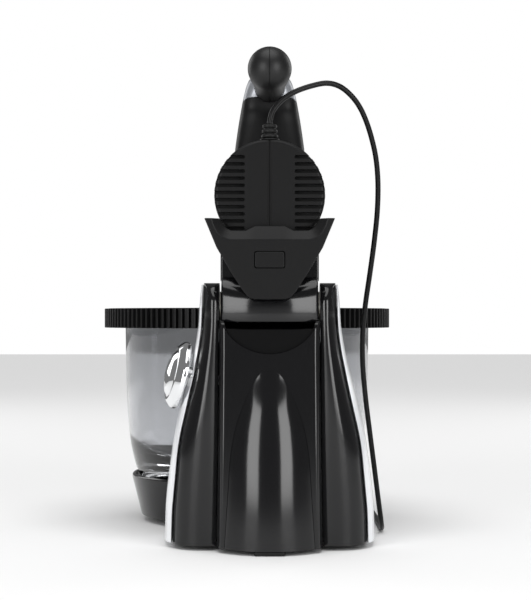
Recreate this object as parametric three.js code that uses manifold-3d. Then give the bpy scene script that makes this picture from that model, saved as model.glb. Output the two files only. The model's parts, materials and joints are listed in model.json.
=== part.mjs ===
// A hand mixer on a tilt-head stand, with a turning bowl driven by its toothed rim.
// Millimetres, +Z up, +Y towards the bowl, the column at the back (-Y).
// The origin lies on the floor, under the middle of the object's outline.
import * as THREE from "three";
import { mergeVertices } from "three/addons/utils/BufferGeometryUtils.js";
import Module from "manifold-3d";

const wasm = await Module();
wasm.setup();

// ---------------------------------------------------------------- driving dimensions

// Clearances and walls
const GAP = 0.35; // between pieces that sit face to face
const RUN = 0.3; // round a turning or sliding piece
const WALL = 2.6; // moulded shells

// Layout
const STAND_X = 20; // the stand's middle plane, beside the bowl's axis
const BOWL_FORWARD = 231.2; // bowl axis ahead of the stand's hindmost point

// Bowl, toothed rim and turntable
const BOWL_WALL = 2.6;
const BOWL_TOP_Z = 181;
const BOWL_TOP_R = 107.4;
const RIM_R = 125.5; // over the teeth
const RIM_ROOT_R = 121.8;
const RIM_BORE_R = 103.5;
const RIM_LOW_Z = 167.7;
const RIM_TOP_Z = 184.5;
const RIM_TEETH = 132;
const RIM_PITCH_R = 124.05;
const BOWL_FLOOR_Z = 42; // inside the bowl
const BOWL_FOOT_Z = 24;
const TURNTABLE_R = 78;
const TURNTABLE_THICK = 6;
const PIVOT_R = 6;

// Holder dish and base
const DISH_TOP_R = 101.2;
const DISH_TOP_Z = 39.3;
const DISH_LOW_R = 93;
const BASE_LOW_Z = 4.5;
const DISH_FLOOR_Z = 13;
const BASE_TOP_Z = 26;
const FOOT_R = 8;

// Hinge and column
const HINGE_Z = 185.5;
const EAR_R = 17.6;
const EAR_IN_X = 38.4;
const BARREL_R = 22;
const HINGE_Y = BARREL_R + 23; // ahead of the hindmost point, the barrel flush with the rear cover
const BARREL_HALF = 37;
const HINGE_PIN_R = 5;
const PIN_HALF = 48;
const COVER_HALF = 40.5; // rear cover, half its width
const COLUMN_LOW_Z = 3;
const WELL_R = BARREL_R + 2.2; // trough under the hinge barrel
const WELL_THICK = 2.4;
const COVER_ARC_R = 40.5; // the curved top edge of the rear cover
const COVER_ARC_Z = HINGE_Z + 4;
const BULGE_TOP_Z = 137.6;

// Arm
const ARM_HALF = 38;
const ARM_WALL = 2.8;
const ARM_LOW_Z = 204;
const DECK_TOP_Z = ARM_LOW_Z + 21;
const DECK_THICK = 3.5;
const ARM_WALL_TOP_Z = DECK_TOP_Z + 11;
const BEATER_Y = BOWL_FORWARD - 59.2; // the beaters hang in the bowl's rear half
const ARM_FRONT_Y = BEATER_Y + 28;

// Gear train under the mixer
const GEAR_MODULE = 1.5;
const WHEEL_TEETH = 32;
const COLLAR_TEETH = 14;
const PINION_TEETH = 12;
const GEAR_TIP = 1.2; // a tooth's height over its pitch circle
const GEAR_LOW_Z = ARM_LOW_Z + 5;
const GEAR_TOP_Z = GEAR_LOW_Z + 7;
const PINION_LOW_Z = RIM_TOP_Z - 6.5;
const PINION_TOP_Z = RIM_TOP_Z + 5.5;
const DRIVE_SHAFT_R = 4;

// Mixer
const MOTOR_R = 42;
const MOTOR_BACK_Y = 22;
const MIXER_LOW_Z = DECK_TOP_Z + 2.4;
const MOTOR_Z = MIXER_LOW_Z + MOTOR_R;
const MOTOR_TOP_Z = MOTOR_Z + MOTOR_R;
const MOTOR_FRONT_Y = BEATER_Y + 51;
const MOTOR_EDGE = 3; // fillet round the rear face
const GRIP_R = 16.3;
const GRIP_END_R = 16.85;
const GRIP_Z = 366.8;
const BEATER_HALF_SPAN = 19.5;
const BEATER_R = 24;
const BEATER_LOW_Z = 50;
const SHANK_R = 3.6;
const VENTS = 11;
const VENT_PITCH = 5.38;
const VENT_HIGH = 2.7;
const VENT_FROM_X = 18.8;

// Cord
const CORD_D = 4.2;
const COIL_R = 23.1; // middle of the coil's turns
const COIL_ACROSS = 2; // turns side by side
const COIL_UP = 2; // turns on each other

// ---------------------------------------------------------------- materials

const plastic = (color, roughness) =>
  new THREE.MeshStandardMaterial({ color, roughness, metalness: 0 });
const metal = (color, roughness) =>
  new THREE.MeshStandardMaterial({ color, roughness, metalness: 1 });
const GLOSS_BLACK = plastic(0x101114, 0.15);
const SATIN_BLACK = plastic(0x1a1a1b, 0.5);
const GLOSS_WHITE = plastic(0xe9eaec, 0.15);
const SILVER_PAINT = plastic(0xc8cacd, 0.35);
const CLEAR_SMOKE = new THREE.MeshStandardMaterial({
  color: 0x9a9da1,
  roughness: 0.08,
  metalness: 0,
  transparent: true,
  opacity: 0.45,
});
const CHROME = metal(0xe4e6e8, 0.06);
const STEEL = metal(0xb9bcc0, 0.3);
const RUBBER = plastic(0x151515, 0.9);
const NYLON = plastic(0xe6e1d3, 0.45);
const COPPER = metal(0xb46a3c, 0.4);
const BOARD_GREEN = plastic(0x2c6b3f, 0.5);

// ---------------------------------------------------------------- solids

// A closed geometry as a manifold-3d solid.
function solid(geometry) {
  const plain = geometry.index ? geometry.toNonIndexed() : geometry.clone();
  plain.deleteAttribute("normal");
  plain.deleteAttribute("uv");
  const merged = mergeVertices(plain, 1e-4);
  return new wasm.Manifold(
    new wasm.Mesh({
      numProp: 3,
      vertProperties: new Float32Array(merged.attributes.position.array),
      triVerts: new Uint32Array(merged.index.array),
    }),
  );
}

// A solid's surface as a geometry.
function surface(body) {
  const mesh = body.getMesh();
  const position = new Float32Array(mesh.numVert * 3);
  for (let i = 0; i < mesh.numVert; i += 1) {
    position.set(mesh.vertProperties.subarray(i * mesh.numProp, i * mesh.numProp + 3), i * 3);
  }
  const geometry = new THREE.BufferGeometry();
  geometry.setAttribute("position", new THREE.BufferAttribute(position, 3));
  geometry.setIndex(new THREE.BufferAttribute(new Uint32Array(mesh.triVerts), 1));
  return geometry.toNonIndexed();
}

const joined = (...bodies) => bodies.reduce((a, b) => a.add(b));
const shapeOf = (points) => new THREE.Shape(points.map(([a, b]) => new THREE.Vector2(a, b)));

// A flat outline in X and Y, raised from z0 to z1.
function upright(shape, z0, z1, curveSegments = 8) {
  const depth = z1 - z0;
  const geometry = new THREE.ExtrudeGeometry(shape, { depth, bevelEnabled: false, curveSegments });
  return solid(geometry.translate(0, 0, z0));
}

// A flat outline in Y and Z, drawn out along X from x0 to x1.
function alongX(shape, x0, x1, curveSegments = 8) {
  const depth = x1 - x0;
  const geometry = new THREE.ExtrudeGeometry(shape, { depth, bevelEnabled: false, curveSegments });
  geometry.rotateY(Math.PI / 2).rotateX(Math.PI / 2);
  return solid(geometry.translate(x0, 0, 0));
}

// A flat outline in X and Z, drawn out along Y from y0 to y1.
function alongY(shape, y0, y1, curveSegments = 8) {
  const depth = y1 - y0;
  const geometry = new THREE.ExtrudeGeometry(shape, { depth, bevelEnabled: false, curveSegments });
  return solid(geometry.rotateX(Math.PI / 2).translate(0, y1, 0));
}

const block = (x0, x1, y0, y1, z0, z1) =>
  solid(
    new THREE.BoxGeometry(x1 - x0, y1 - y0, z1 - z0).translate(
      (x0 + x1) / 2,
      (y0 + y1) / 2,
      (z0 + z1) / 2,
    ),
  );

// A profile of [radius, height] turned round an upright axis at x, y.
function turned(profile, x = 0, y = 0, segments = 24) {
  const points = profile.map(([r, h]) => new THREE.Vector2(r, h));
  const geometry = new THREE.LatheGeometry(points, segments);
  return solid(geometry.rotateX(Math.PI / 2).translate(x, y, 0));
}

const rod = (r, z0, z1, x = 0, y = 0, segments = 16) =>
  turned(
    [
      [0, z0],
      [r, z0],
      [r, z1],
      [0, z1],
    ],
    x,
    y,
    segments,
  );

// A rod or a turned profile along Y, about the line x, z.
function turnedY(profile, x, z, segments = 24) {
  const points = profile.map(([r, h]) => new THREE.Vector2(r, -h)).reverse();
  const geometry = new THREE.LatheGeometry(points, segments);
  return solid(geometry.rotateX(Math.PI).translate(x, 0, z));
}

const rodY = (r, y0, y1, x, z, segments = 24) =>
  turnedY(
    [
      [0, y0],
      [r, y0],
      [r, y1],
      [0, y1],
    ],
    x,
    z,
    segments,
  );

// A rod along X, about the line y, z.
function rodX(r, x0, x1, y, z, segments = 24) {
  const geometry = new THREE.CylinderGeometry(r, r, x1 - x0, segments);
  return solid(geometry.rotateZ(Math.PI / 2).translate((x0 + x1) / 2, y, z));
}

// An outline raised in steps and then shaped: place gives each point from its outline place and
// its height.
function shaped(shape, z0, z1, steps, place) {
  const geometry = new THREE.ExtrudeGeometry(shape, {
    depth: z1 - z0,
    steps,
    bevelEnabled: false,
    curveSegments: 8,
  });
  const position = geometry.attributes.position;
  const point = new THREE.Vector3();
  for (let i = 0; i < position.count; i += 1) {
    point.fromBufferAttribute(position, i);
    const [x, y] = place(point.x, point.y, point.z + z0);
    position.setXYZ(i, x, y, point.z + z0);
  }
  return solid(geometry);
}

const mirrored = (body) => body.mirror([1, 0, 0]);

// A straight reading between [place, value] pairs.
function reading(pairs, at) {
  const [first, last] = [pairs[0], pairs[pairs.length - 1]];
  if (at <= first[0]) return first[1];
  if (at >= last[0]) return last[1];
  const k = pairs.findIndex(([place]) => place > at);
  const [[a, va], [b, vb]] = [pairs[k - 1], pairs[k]];
  return va + ((vb - va) * (at - a)) / (b - a);
}

// A gear's outline: straight-sided teeth, the first one centred on angle.
function gearShape(teeth, rootR, tipR, pitchR, share, angle) {
  const shape = new THREE.Shape();
  const pitch = (2 * Math.PI) / teeth;
  const slope = 0.36; // tan of the flank's lean
  const half = (r) => (share * pitch) / 2 - ((r - pitchR) * slope) / pitchR;
  for (let i = 0; i < teeth; i += 1) {
    const middle = angle + i * pitch;
    const corners = [
      [rootR, middle - half(rootR)],
      [tipR, middle - half(tipR)],
      [tipR, middle + half(tipR)],
      [rootR, middle + half(rootR)],
    ];
    for (const [r, a] of corners) {
      const [x, y] = [r * Math.cos(a), r * Math.sin(a)];
      if (i === 0 && r === rootR && a < middle) shape.moveTo(x, y);
      else shape.lineTo(x, y);
    }
  }
  shape.closePath();
  return shape;
}

// The angle of a tooth of gear B that meshes with gear A, whose tooth is at angleA, when B lies in
// direction toB from A.
function meshedAngle(angleA, teethA, toB, teethB) {
  const ahead = ((angleA - toB) * teethA) / (2 * Math.PI);
  return toB + Math.PI - ((ahead + 0.5) * 2 * Math.PI) / teethB;
}

const withHole = (shape, r, x = 0, y = 0) => {
  const hole = new THREE.Path();
  hole.absarc(x, y, r, 0, 2 * Math.PI, true);
  shape.holes.push(hole);
  return shape;
};

// A tube of round section with sides flats along points.
function tube(points, diameter, sides, steps, closed = false) {
  const section = new THREE.Shape();
  for (let i = 0; i < sides; i += 1) {
    const a = (2 * Math.PI * i) / sides;
    const at = [(diameter / 2) * Math.cos(a), (diameter / 2) * Math.sin(a)];
    if (i === 0) section.moveTo(...at);
    else section.lineTo(...at);
  }
  section.closePath();
  const path = new THREE.CatmullRomCurve3(
    points.map((p) => new THREE.Vector3(...p)),
    closed,
    "centripetal",
  );
  return new THREE.ExtrudeGeometry(section, {
    steps,
    extrudePath: path,
    bevelEnabled: false,
  });
}

// ---------------------------------------------------------------- scene graph

const object = new THREE.Group();
const REAR_Y = -(BOWL_FORWARD + RIM_R) / 2;
const stand = new THREE.Group(); // x from the stand's middle plane, y from its hindmost point
stand.position.set(STAND_X, REAR_Y, 0);
const bowlGroup = new THREE.Group(); // about the bowl's axis
bowlGroup.position.set(0, REAR_Y + BOWL_FORWARD, 0);
object.add(stand, bowlGroup);

function put(group, name, body, material) {
  const geometry = body.isBufferGeometry ? body : surface(body);
  geometry.computeVertexNormals();
  const mesh = new THREE.Mesh(geometry, material);
  mesh.name = name;
  group.add(mesh);
}

// ---------------------------------------------------------------- bowl

// The bowl's outer radius at a height.
const BOWL_SIDE = [
  [BOWL_FOOT_Z, 80],
  [30, 87.5],
  [37, 93.5],
  [45, 97.4],
  [54, 99.9],
  [66, 102.6],
  [86, 104.7],
  [112, 106.3],
  [BOWL_TOP_Z, BOWL_TOP_R],
];

function bowl() {
  const outer = BOWL_SIDE.map(([z, r]) => [r, z]);
  const inner = [
    [BOWL_TOP_R - BOWL_WALL, BOWL_TOP_Z],
    [106.3 - BOWL_WALL, 112],
    [104.7 - BOWL_WALL, 86],
    [99, 66],
    [92, 54],
    [80, 45.5],
    [66, BOWL_FLOOR_Z],
    [0, BOWL_FLOOR_Z],
  ];
  const under = [
    [0, BOWL_FLOOR_Z - 3],
    [66, BOWL_FLOOR_Z - 3],
    [76, 33],
    [77, BOWL_FOOT_Z],
  ];
  put(bowlGroup, "bowl", turned([...under, ...outer, ...inner], 0, 0, 36), CLEAR_SMOKE);
}

function bowlRim() {
  const share = 0.4;
  const teeth = gearShape(RIM_TEETH, RIM_ROOT_R, RIM_R, RIM_PITCH_R, share, 0);
  const ring = upright(teeth, RIM_LOW_Z, RIM_TOP_Z);
  const seat = rod(BOWL_TOP_R + GAP, RIM_LOW_Z - 1, BOWL_TOP_Z + GAP, 0, 0, 36);
  const mouth = rod(RIM_BORE_R, RIM_LOW_Z, RIM_TOP_Z + 1, 0, 0, 36);
  put(bowlGroup, "bowl_toothed_rim", ring.subtract(seat).subtract(mouth), SATIN_BLACK);
}

function turntable() {
  const low = BOWL_FOOT_Z - GAP - TURNTABLE_THICK;
  const top = BOWL_FOOT_Z - GAP;
  const dogTop = BOWL_FLOOR_Z - 3 - GAP;
  const plate = rod(TURNTABLE_R, low, top, 0, 0, 40);
  const hub = rod(30, top - 1, dogTop, 0, 0, 12);
  const socket = rod(PIVOT_R + RUN, low - 1, dogTop - 3, 0, 0, 24);
  put(bowlGroup, "turntable", joined(plate, hub).subtract(socket), SATIN_BLACK);
  const pinTop = dogTop - 3 - GAP;
  const pin = joined(
    rod(PIVOT_R, DISH_FLOOR_Z - 3, pinTop, 0, 0, 20),
    rod(PIVOT_R + 5, DISH_FLOOR_Z + GAP, DISH_FLOOR_Z + 2, 0, 0, 20),
  );
  put(bowlGroup, "turntable_pivot", pin, STEEL);
}

// ---------------------------------------------------------------- base

const BASE_PLATE_Z = 5.2; // underside of the closing plate
const BASE_PLATE_THICK = 2;
const BRIDGE_HALF_BACK = 62;
const BRIDGE_HALF_FRONT = 56;
const BRIDGE_BACK_Y = 42;
const BASE_SCREWS = [
  [-44, 62],
  [44, 62],
  [-44, 122],
  [44, 122],
];
const SCREW_R = 1.9;
const SCREW_HEAD_R = 3.8;

const bowlX = -STAND_X; // the bowl's axis, seen from the stand

// The base's outline seen from above, drawn in by inset.
function bridgeOutline(inset) {
  return shapeOf([
    [-BRIDGE_HALF_BACK + inset, BRIDGE_BACK_Y + inset],
    [BRIDGE_HALF_BACK - inset, BRIDGE_BACK_Y + inset],
    [BRIDGE_HALF_FRONT - inset, BOWL_FORWARD - 60],
    [-BRIDGE_HALF_BACK + inset, BOWL_FORWARD - 60],
  ]);
}

function base() {
  const dish = turned(
    [
      [0, DISH_FLOOR_Z - 3],
      [DISH_LOW_R - 4, DISH_FLOOR_Z - 3],
      [DISH_LOW_R - 3, BASE_LOW_Z],
      [DISH_LOW_R, BASE_LOW_Z],
      [DISH_TOP_R, DISH_TOP_Z],
      [DISH_TOP_R - 1.6, DISH_TOP_Z + 1.4],
      [DISH_TOP_R - 2.8, DISH_TOP_Z + 0.6],
      [DISH_LOW_R - 2, DISH_FLOOR_Z + 3],
      [DISH_LOW_R - 6, DISH_FLOOR_Z],
      [0, DISH_FLOOR_Z],
    ],
    bowlX,
    BOWL_FORWARD,
    36,
  );
  const bowlRoom = turned(
    [
      [0, DISH_FLOOR_Z],
      [DISH_LOW_R - 6, DISH_FLOOR_Z],
      [DISH_LOW_R - 2, DISH_FLOOR_Z + 3],
      [DISH_TOP_R - 2.8, DISH_TOP_Z + 0.6],
      [DISH_TOP_R, DISH_TOP_Z + 30],
      [0, DISH_TOP_Z + 30],
    ],
    bowlX,
    BOWL_FORWARD,
    36,
  );
  const bridge = upright(bridgeOutline(0), BASE_LOW_Z, BASE_TOP_Z);
  const underDish = upright(bridgeOutline(3), BASE_LOW_Z - 1, DISH_FLOOR_Z - 3);
  const underBridge = upright(bridgeOutline(3), DISH_FLOOR_Z - 4, BASE_TOP_Z - 3).subtract(
    rod(DISH_TOP_R, DISH_FLOOR_Z - 5, BASE_TOP_Z, bowlX, BOWL_FORWARD, 36),
  );
  const dishUnder = rod(DISH_LOW_R - 4, BASE_LOW_Z - 1, DISH_FLOOR_Z - 3, bowlX, BOWL_FORWARD, 36);
  const cableHatch = block(-20, 20, BRIDGE_BACK_Y + 12, 96, BASE_TOP_Z - 6, BASE_TOP_Z + 1);
  let housing = joined(dish, bridge).subtract(underDish).subtract(underBridge);
  housing = housing.subtract(dishUnder).subtract(bowlRoom);
  housing = housing.subtract(cableHatch);
  for (const [x, y] of BASE_SCREWS) {
    housing = housing.add(rod(6, BASE_PLATE_Z + BASE_PLATE_THICK + GAP, BASE_TOP_Z - 1, x, y, 12));
    housing = housing.subtract(rod(SCREW_R + GAP, BASE_LOW_Z, BASE_TOP_Z - 5, x, y, 12));
  }
  housing = housing.subtract(
    rod(PIVOT_R + GAP, DISH_FLOOR_Z - 4, DISH_FLOOR_Z + 1, bowlX, BOWL_FORWARD, 20),
  );
  put(stand, "base_housing", housing, GLOSS_BLACK);

  const plateTop = BASE_PLATE_Z + BASE_PLATE_THICK;
  const roundPlate = rod(DISH_LOW_R - 4.5, BASE_PLATE_Z, plateTop, bowlX, BOWL_FORWARD, 40);
  const longPlate = upright(bridgeOutline(3.4), BASE_PLATE_Z, plateTop);
  let plate = joined(roundPlate, longPlate);
  for (const [x, y] of BASE_SCREWS) {
    plate = plate.subtract(rod(SCREW_R + GAP, BASE_PLATE_Z - 1, plateTop + 1, x, y, 12));
  }
  put(stand, "base_plate", plate, SATIN_BLACK);

  BASE_SCREWS.forEach(([x, y], i) => {
    const screw = joined(
      rod(SCREW_HEAD_R, BASE_PLATE_Z - GAP - 2, BASE_PLATE_Z - GAP, x, y, 16),
      rod(SCREW_R, BASE_PLATE_Z - GAP - 1, BASE_PLATE_Z + 12, x, y, 10),
    );
    put(stand, "base_screw_" + (i + 1), screw, STEEL);
  });
}

const FEET = [
  ["foot_left", -46, 92],
  ["foot_right", 46, 92],
  ["foot_front_left", bowlX - 52, BOWL_FORWARD + 52],
  ["foot_front_right", bowlX + 52, BOWL_FORWARD + 52],
];

function feet() {
  const top = BASE_PLATE_Z - GAP;
  for (const [name, x, y] of FEET) {
    const pad = turned(
      [
        [0, 0],
        [FOOT_R - 1, 0],
        [FOOT_R, 1],
        [FOOT_R, top],
        [0, top],
      ],
      x,
      y,
      20,
    );
    put(stand, name, pad, RUBBER);
  }
}

// ---------------------------------------------------------------- column

// Half the column's width over the white side panels, and over the black shells, at a height.
const PANEL_HALF = [
  [3, 82.8],
  [28, 82],
  [42, 80.9],
  [58, 79],
  [73, 76.8],
  [87.5, 74.5],
  [104, 70.9],
  [120, 67.1],
  [138, 61.9],
  [154.5, 58.1],
  [171, 55.2],
  [184, 54.1],
  [204, 52],
];
const SHELL_HALF = [
  [3, 75],
  [28, 74.3],
  [42, 73.1],
  [58, 71.6],
  [73, 70.2],
  [87.5, 67.9],
  [104, 64.2],
  [120, 60.6],
  [138, 56.9],
  [154.5, 53.7],
  [171, 51.7],
  [204, 50.4],
];
const shellHalf = (z) => reading(SHELL_HALF, z);
const panelHalf = (z) => reading(PANEL_HALF, z);

// The shells' rear and front faces at a height.
const shellBack = (z) => 33 - (5.6 * z) / HINGE_Z;
const COLUMN_FRONT = [
  [3, 128],
  [26, 126],
  [60, 120],
  [100, 113],
  [135, 106],
  [160, 96],
];
const columnFront = (z) => reading(COLUMN_FRONT, z);

const CORNER = 17; // depth of the rounded rear corner of a side shell
const COLUMN_STEPS = 12;

// The column seen from the side: straight at the back, an ear round the hinge, a long front slope.
function sideOutline(inset) {
  const earR = EAR_R - inset;
  const points = [
    [0, COLUMN_LOW_Z + inset],
    [140, COLUMN_LOW_Z + inset],
    [140, 140],
    [columnFront(146) - inset, 146],
    [columnFront(160) - 4 - inset, 158 - inset],
    [HINGE_Y + 39 - inset, 165 - inset],
  ];
  for (let k = 0; k <= 8; k += 1) {
    const a = THREE.MathUtils.degToRad(-12 + (192 * k) / 8);
    points.push([HINGE_Y + earR * Math.cos(a), HINGE_Z + earR * Math.sin(a)]);
  }
  points.push([HINGE_Y - EAR_R + inset, 150], [0, 150]);
  return shapeOf(points);
}

// One side shell, on the +X side: a hollow moulding with its rear face, its rounded corner, its side
// wall and a narrow front face. The outline is drawn in shares and put in place at each height.
function sideShell() {
  const wall = WALL;
  const outline = shapeOf([
    [0, 0],
    [0.72, 0],
    [0.93, 0.3],
    [1, 1],
    [1, 2],
    [0.9, 3],
    [0.3, 3],
    [0.3, 2.9],
    [0.88, 2.9],
    [0.94, 1.95],
    [0.94, 1.05],
    [0.88, 0.42],
    [0.7, 0.1],
    [0, 0.1],
  ]);
  // u runs from the rear cover's edge (0) to the outside (1); v is 0 at the rear face, 1 behind the
  // corner, 2 before the front face and 3 on it. The odd values are a wall's thickness further in.
  const innerX = COVER_HALF + GAP + 0.6;
  const place = (u, v, z) => {
    const [half, back, front] = [shellHalf(z), shellBack(z), columnFront(z)];
    const span = half - innerX;
    const isInner = [0.88, 0.94, 0.7].includes(Number(u.toFixed(2)));
    let x = innerX + u * span;
    if (Number(u.toFixed(2)) === 0.94) x = half - wall;
    if (Number(u.toFixed(2)) === 0.88) x = half - wall - 1.4;
    if (Number(u.toFixed(2)) === 0.7) x = innerX + 0.72 * span - 1.2;
    let y = back;
    if (v > 0.05 && v < 0.2) y = back + wall;
    else if (v > 0.2 && v < 0.35) y = back + 0.3 * CORNER;
    else if (v > 0.35 && v < 0.5) y = back + 0.3 * CORNER + wall;
    else if (v >= 0.9 && v < 1.2) y = back + CORNER + (isInner ? wall : 0);
    else if (v > 1.9 && v < 2.2) y = front - 8 - (isInner ? 1 : 0);
    else if (v > 2.85 && v < 2.95) y = front - wall;
    else if (v >= 2.95) y = front;
    return [x, y];
  };
  const skin = shaped(outline, COLUMN_LOW_Z, 165, COLUMN_STEPS, place);
  const side = alongX(sideOutline(0), 0, 100);
  const earOuter = (z) => shellHalf(z);
  const ear = shaped(
    shapeOf([
      [0, 0],
      [1, 0],
      [1, 1],
      [0, 1],
    ]),
    150,
    206,
    4,
    (u, v, z) => [EAR_IN_X + u * (earOuter(z) - EAR_IN_X), 26 + v * 60],
  );
  const pinHole = rodX(HINGE_PIN_R + RUN, EAR_IN_X - 1, PIN_HALF + GAP, HINGE_Y, HINGE_Z, 24);
  return joined(skin, ear).intersect(side).subtract(pinHole);
}

// One side panel, on the +X side, standing off the shell's side wall.
function sidePanel() {
  const outline = shapeOf([
    [0, 0],
    [0.55, 0.12],
    [1, 0.4],
    [1, 0.85],
    [0.6, 1],
    [0.3, 1],
    [0.7, 0.83],
    [0.7, 0.42],
    [0.3, 0.16],
    [0, 0.06],
  ]);
  const place = (u, v, z) => {
    const inner = shellHalf(z) + GAP;
    const outer = panelHalf(z);
    const back = shellBack(z) + CORNER - 4;
    const front = columnFront(z) - 6;
    return [inner + u * (outer - inner), back + v * (front - back)];
  };
  const skin = shaped(outline, COLUMN_LOW_Z + 1, 204, 14, place);
  return skin.intersect(alongX(sideOutline(1), 0, 100));
}

// The tilt button stands on the left side; its own axis leans back and up with the side's surface.
const BUTTON_TURN = THREE.MathUtils.degToRad(12);
const BUTTON_LEAN = THREE.MathUtils.degToRad(13.5);
const BUTTON_R = 26.5;
const BUTTON_STEM_R = 8;
const BUTTON_TRAVEL = 3.5;
const BUTTON_STAND = BUTTON_TRAVEL + 0.8; // from the panel to the cap's underside
const LUG_X = [-23, -17]; // the arm's lug, which the latch holds
const LUG_Y = [HINGE_Y + BARREL_R + 3, HINGE_Y + BARREL_R + 11];
const BUTTON_AT = [-64, LUG_Y[0] - 2, 130];
const SPRING_RIB_X = 5;

// Turns a piece made about +Z, its foot at the origin, to stand on the column's left side.
function onLeftSide(body) {
  const outward = new THREE.Vector3(
    -Math.cos(BUTTON_TURN) * Math.cos(BUTTON_LEAN),
    -Math.sin(BUTTON_TURN) * Math.cos(BUTTON_LEAN),
    Math.sin(BUTTON_LEAN),
  );
  const turn = new THREE.Quaternion().setFromUnitVectors(new THREE.Vector3(0, 0, 1), outward);
  const matrix = new THREE.Matrix4().compose(
    new THREE.Vector3(...BUTTON_AT),
    turn,
    new THREE.Vector3(1, 1, 1),
  );
  return body.transform(matrix.toArray());
}

function column() {
  const stemHole = onLeftSide(rod(BUTTON_STEM_R + 0.6, -30, 30, 0, 0, 24));
  const seat = onLeftSide(rod(BUTTON_R + 0.6, BUTTON_STAND - BUTTON_TRAVEL - GAP, 30, 0, 0, 28));
  const baseRoom = upright(bridgeOutline(-GAP), 0, BASE_TOP_Z + GAP);
  const leftShell = mirrored(sideShell()).subtract(stemHole).subtract(baseRoom);
  put(stand, "side_shell_right", sideShell().subtract(baseRoom), GLOSS_BLACK);
  put(stand, "side_shell_left", leftShell, GLOSS_BLACK);
  put(stand, "side_panel_right", sidePanel(), GLOSS_WHITE);
  put(stand, "side_panel_left", mirrored(sidePanel()).subtract(stemHole).subtract(seat), GLOSS_WHITE);
}

// Half the rear cover's bulge's width, and its height over the cover, at a height.
const BULGE_HALF = [
  [3, 34.2],
  [48.5, 31.4],
  [70, 30],
  [84, 27.9],
  [95.6, 25.8],
  [108.5, 20.8],
  [121, 15.8],
  [132.6, 11.5],
  [BULGE_TOP_Z, 4],
];
const coverBack = (z) => 15.5 + (7.5 * z) / 173;
const bulgeHigh = (z) => {
  const share = Math.min(1, Math.max(0, (z - COLUMN_LOW_Z) / (BULGE_TOP_Z - COLUMN_LOW_Z)));
  return 15.2 * Math.sqrt(1 - share * share);
};

function rearCover() {
  const across = 6; // points over half the bulge
  const shares = [];
  for (let k = -across; k <= across; k += 1) shares.push(k / across);
  const legs = 2;
  const outline = shapeOf([
    [-legs, 1],
    [-legs, 0.4],
    ...shares.map((u) => [u, 0]),
    [legs, 0.4],
    [legs, 1],
    [legs - 0.2, 1],
    [legs - 0.2, 0.45],
    ...shares.map((u) => [-u * 0.98, 0.1]),
    [-legs + 0.2, 0.45],
    [-legs + 0.2, 1],
  ]);
  const place = (u, v, z) => {
    const size = Math.abs(u);
    const sign = Math.sign(u);
    const back = coverBack(z);
    if (size > 1.1) {
      const x = size > 1.9 ? COVER_HALF : COVER_HALF - WALL;
      const y = v > 0.9 ? shellBack(z) + 8 : back + (size > 1.9 ? 2.4 : 2.4 + WALL);
      return [sign * x, y];
    }
    const onSkin = v < 0.05;
    const share = onSkin ? size : size / 0.98;
    const half = reading(BULGE_HALF, z);
    // the outermost point of each half lies at the cover's edge, the others over the bulge
    const onEdge = share > 0.95;
    const x = onEdge ? COVER_HALF - (onSkin ? 2.4 : WALL + 1.4) : (share / 0.9) * half;
    const crown = onEdge ? 0 : bulgeHigh(z) * Math.cos((Math.min(1, share / 0.9) * Math.PI) / 2);
    const y = back - crown + (onSkin ? 0 : WALL);
    return [sign * x, y];
  };
  const skin = shaped(outline, COLUMN_LOW_Z, 175, 9, place);
  const arc = new THREE.Shape();
  arc.absarc(0, COVER_ARC_Z, COVER_ARC_R, 0, 2 * Math.PI, false);
  const hollow = alongY(arc, -5, 80, 24);
  let cover = skin.subtract(hollow);
  for (const side of [-1, 1]) {
    const [a, b] = [side * (EAR_IN_X - GAP), side * (COVER_HALF + 1)];
    const [x0, x1] = [Math.min(a, b), Math.max(a, b)];
    cover = cover.subtract(block(x0, x1, HINGE_Y - EAR_R - GAP, 60, 150 - GAP, 180));
  }
  put(stand, "rear_cover", cover, GLOSS_BLACK);
  const tab = block(-11.6, 11.6, 1.5, 15, 0, COLUMN_LOW_Z - GAP);
  put(stand, "foot_rear", tab, RUBBER);
}

// The trough that closes the column under the hinge barrel, and the apron behind the cover's arc.
function hingeWell() {
  const outline = new THREE.Shape();
  const [from, to] = [THREE.MathUtils.degToRad(226), THREE.MathUtils.degToRad(338)];
  const outer = WELL_R + WELL_THICK;
  const steps = 12;
  for (let k = 0; k <= steps; k += 1) {
    const a = from + ((to - from) * k) / steps;
    const at = [HINGE_Y + outer * Math.cos(a), HINGE_Z + outer * Math.sin(a)];
    if (k === 0) outline.moveTo(...at);
    else outline.lineTo(...at);
  }
  for (let k = steps; k >= 0; k -= 1) {
    const a = from + ((to - from) * k) / steps;
    outline.lineTo(HINGE_Y + WELL_R * Math.cos(a), HINGE_Z + WELL_R * Math.sin(a));
  }
  outline.closePath();
  const half = COVER_HALF - WALL - 2;
  const trough = alongX(outline, -half, half);
  const apronY = coverBack(COVER_ARC_Z - COVER_ARC_R) + WALL + 1.6;
  const apron = block(-half, half, apronY, apronY + WELL_THICK, 144, 167.5);
  put(stand, "hinge_well", joined(trough, apron), SATIN_BLACK);
}

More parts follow.
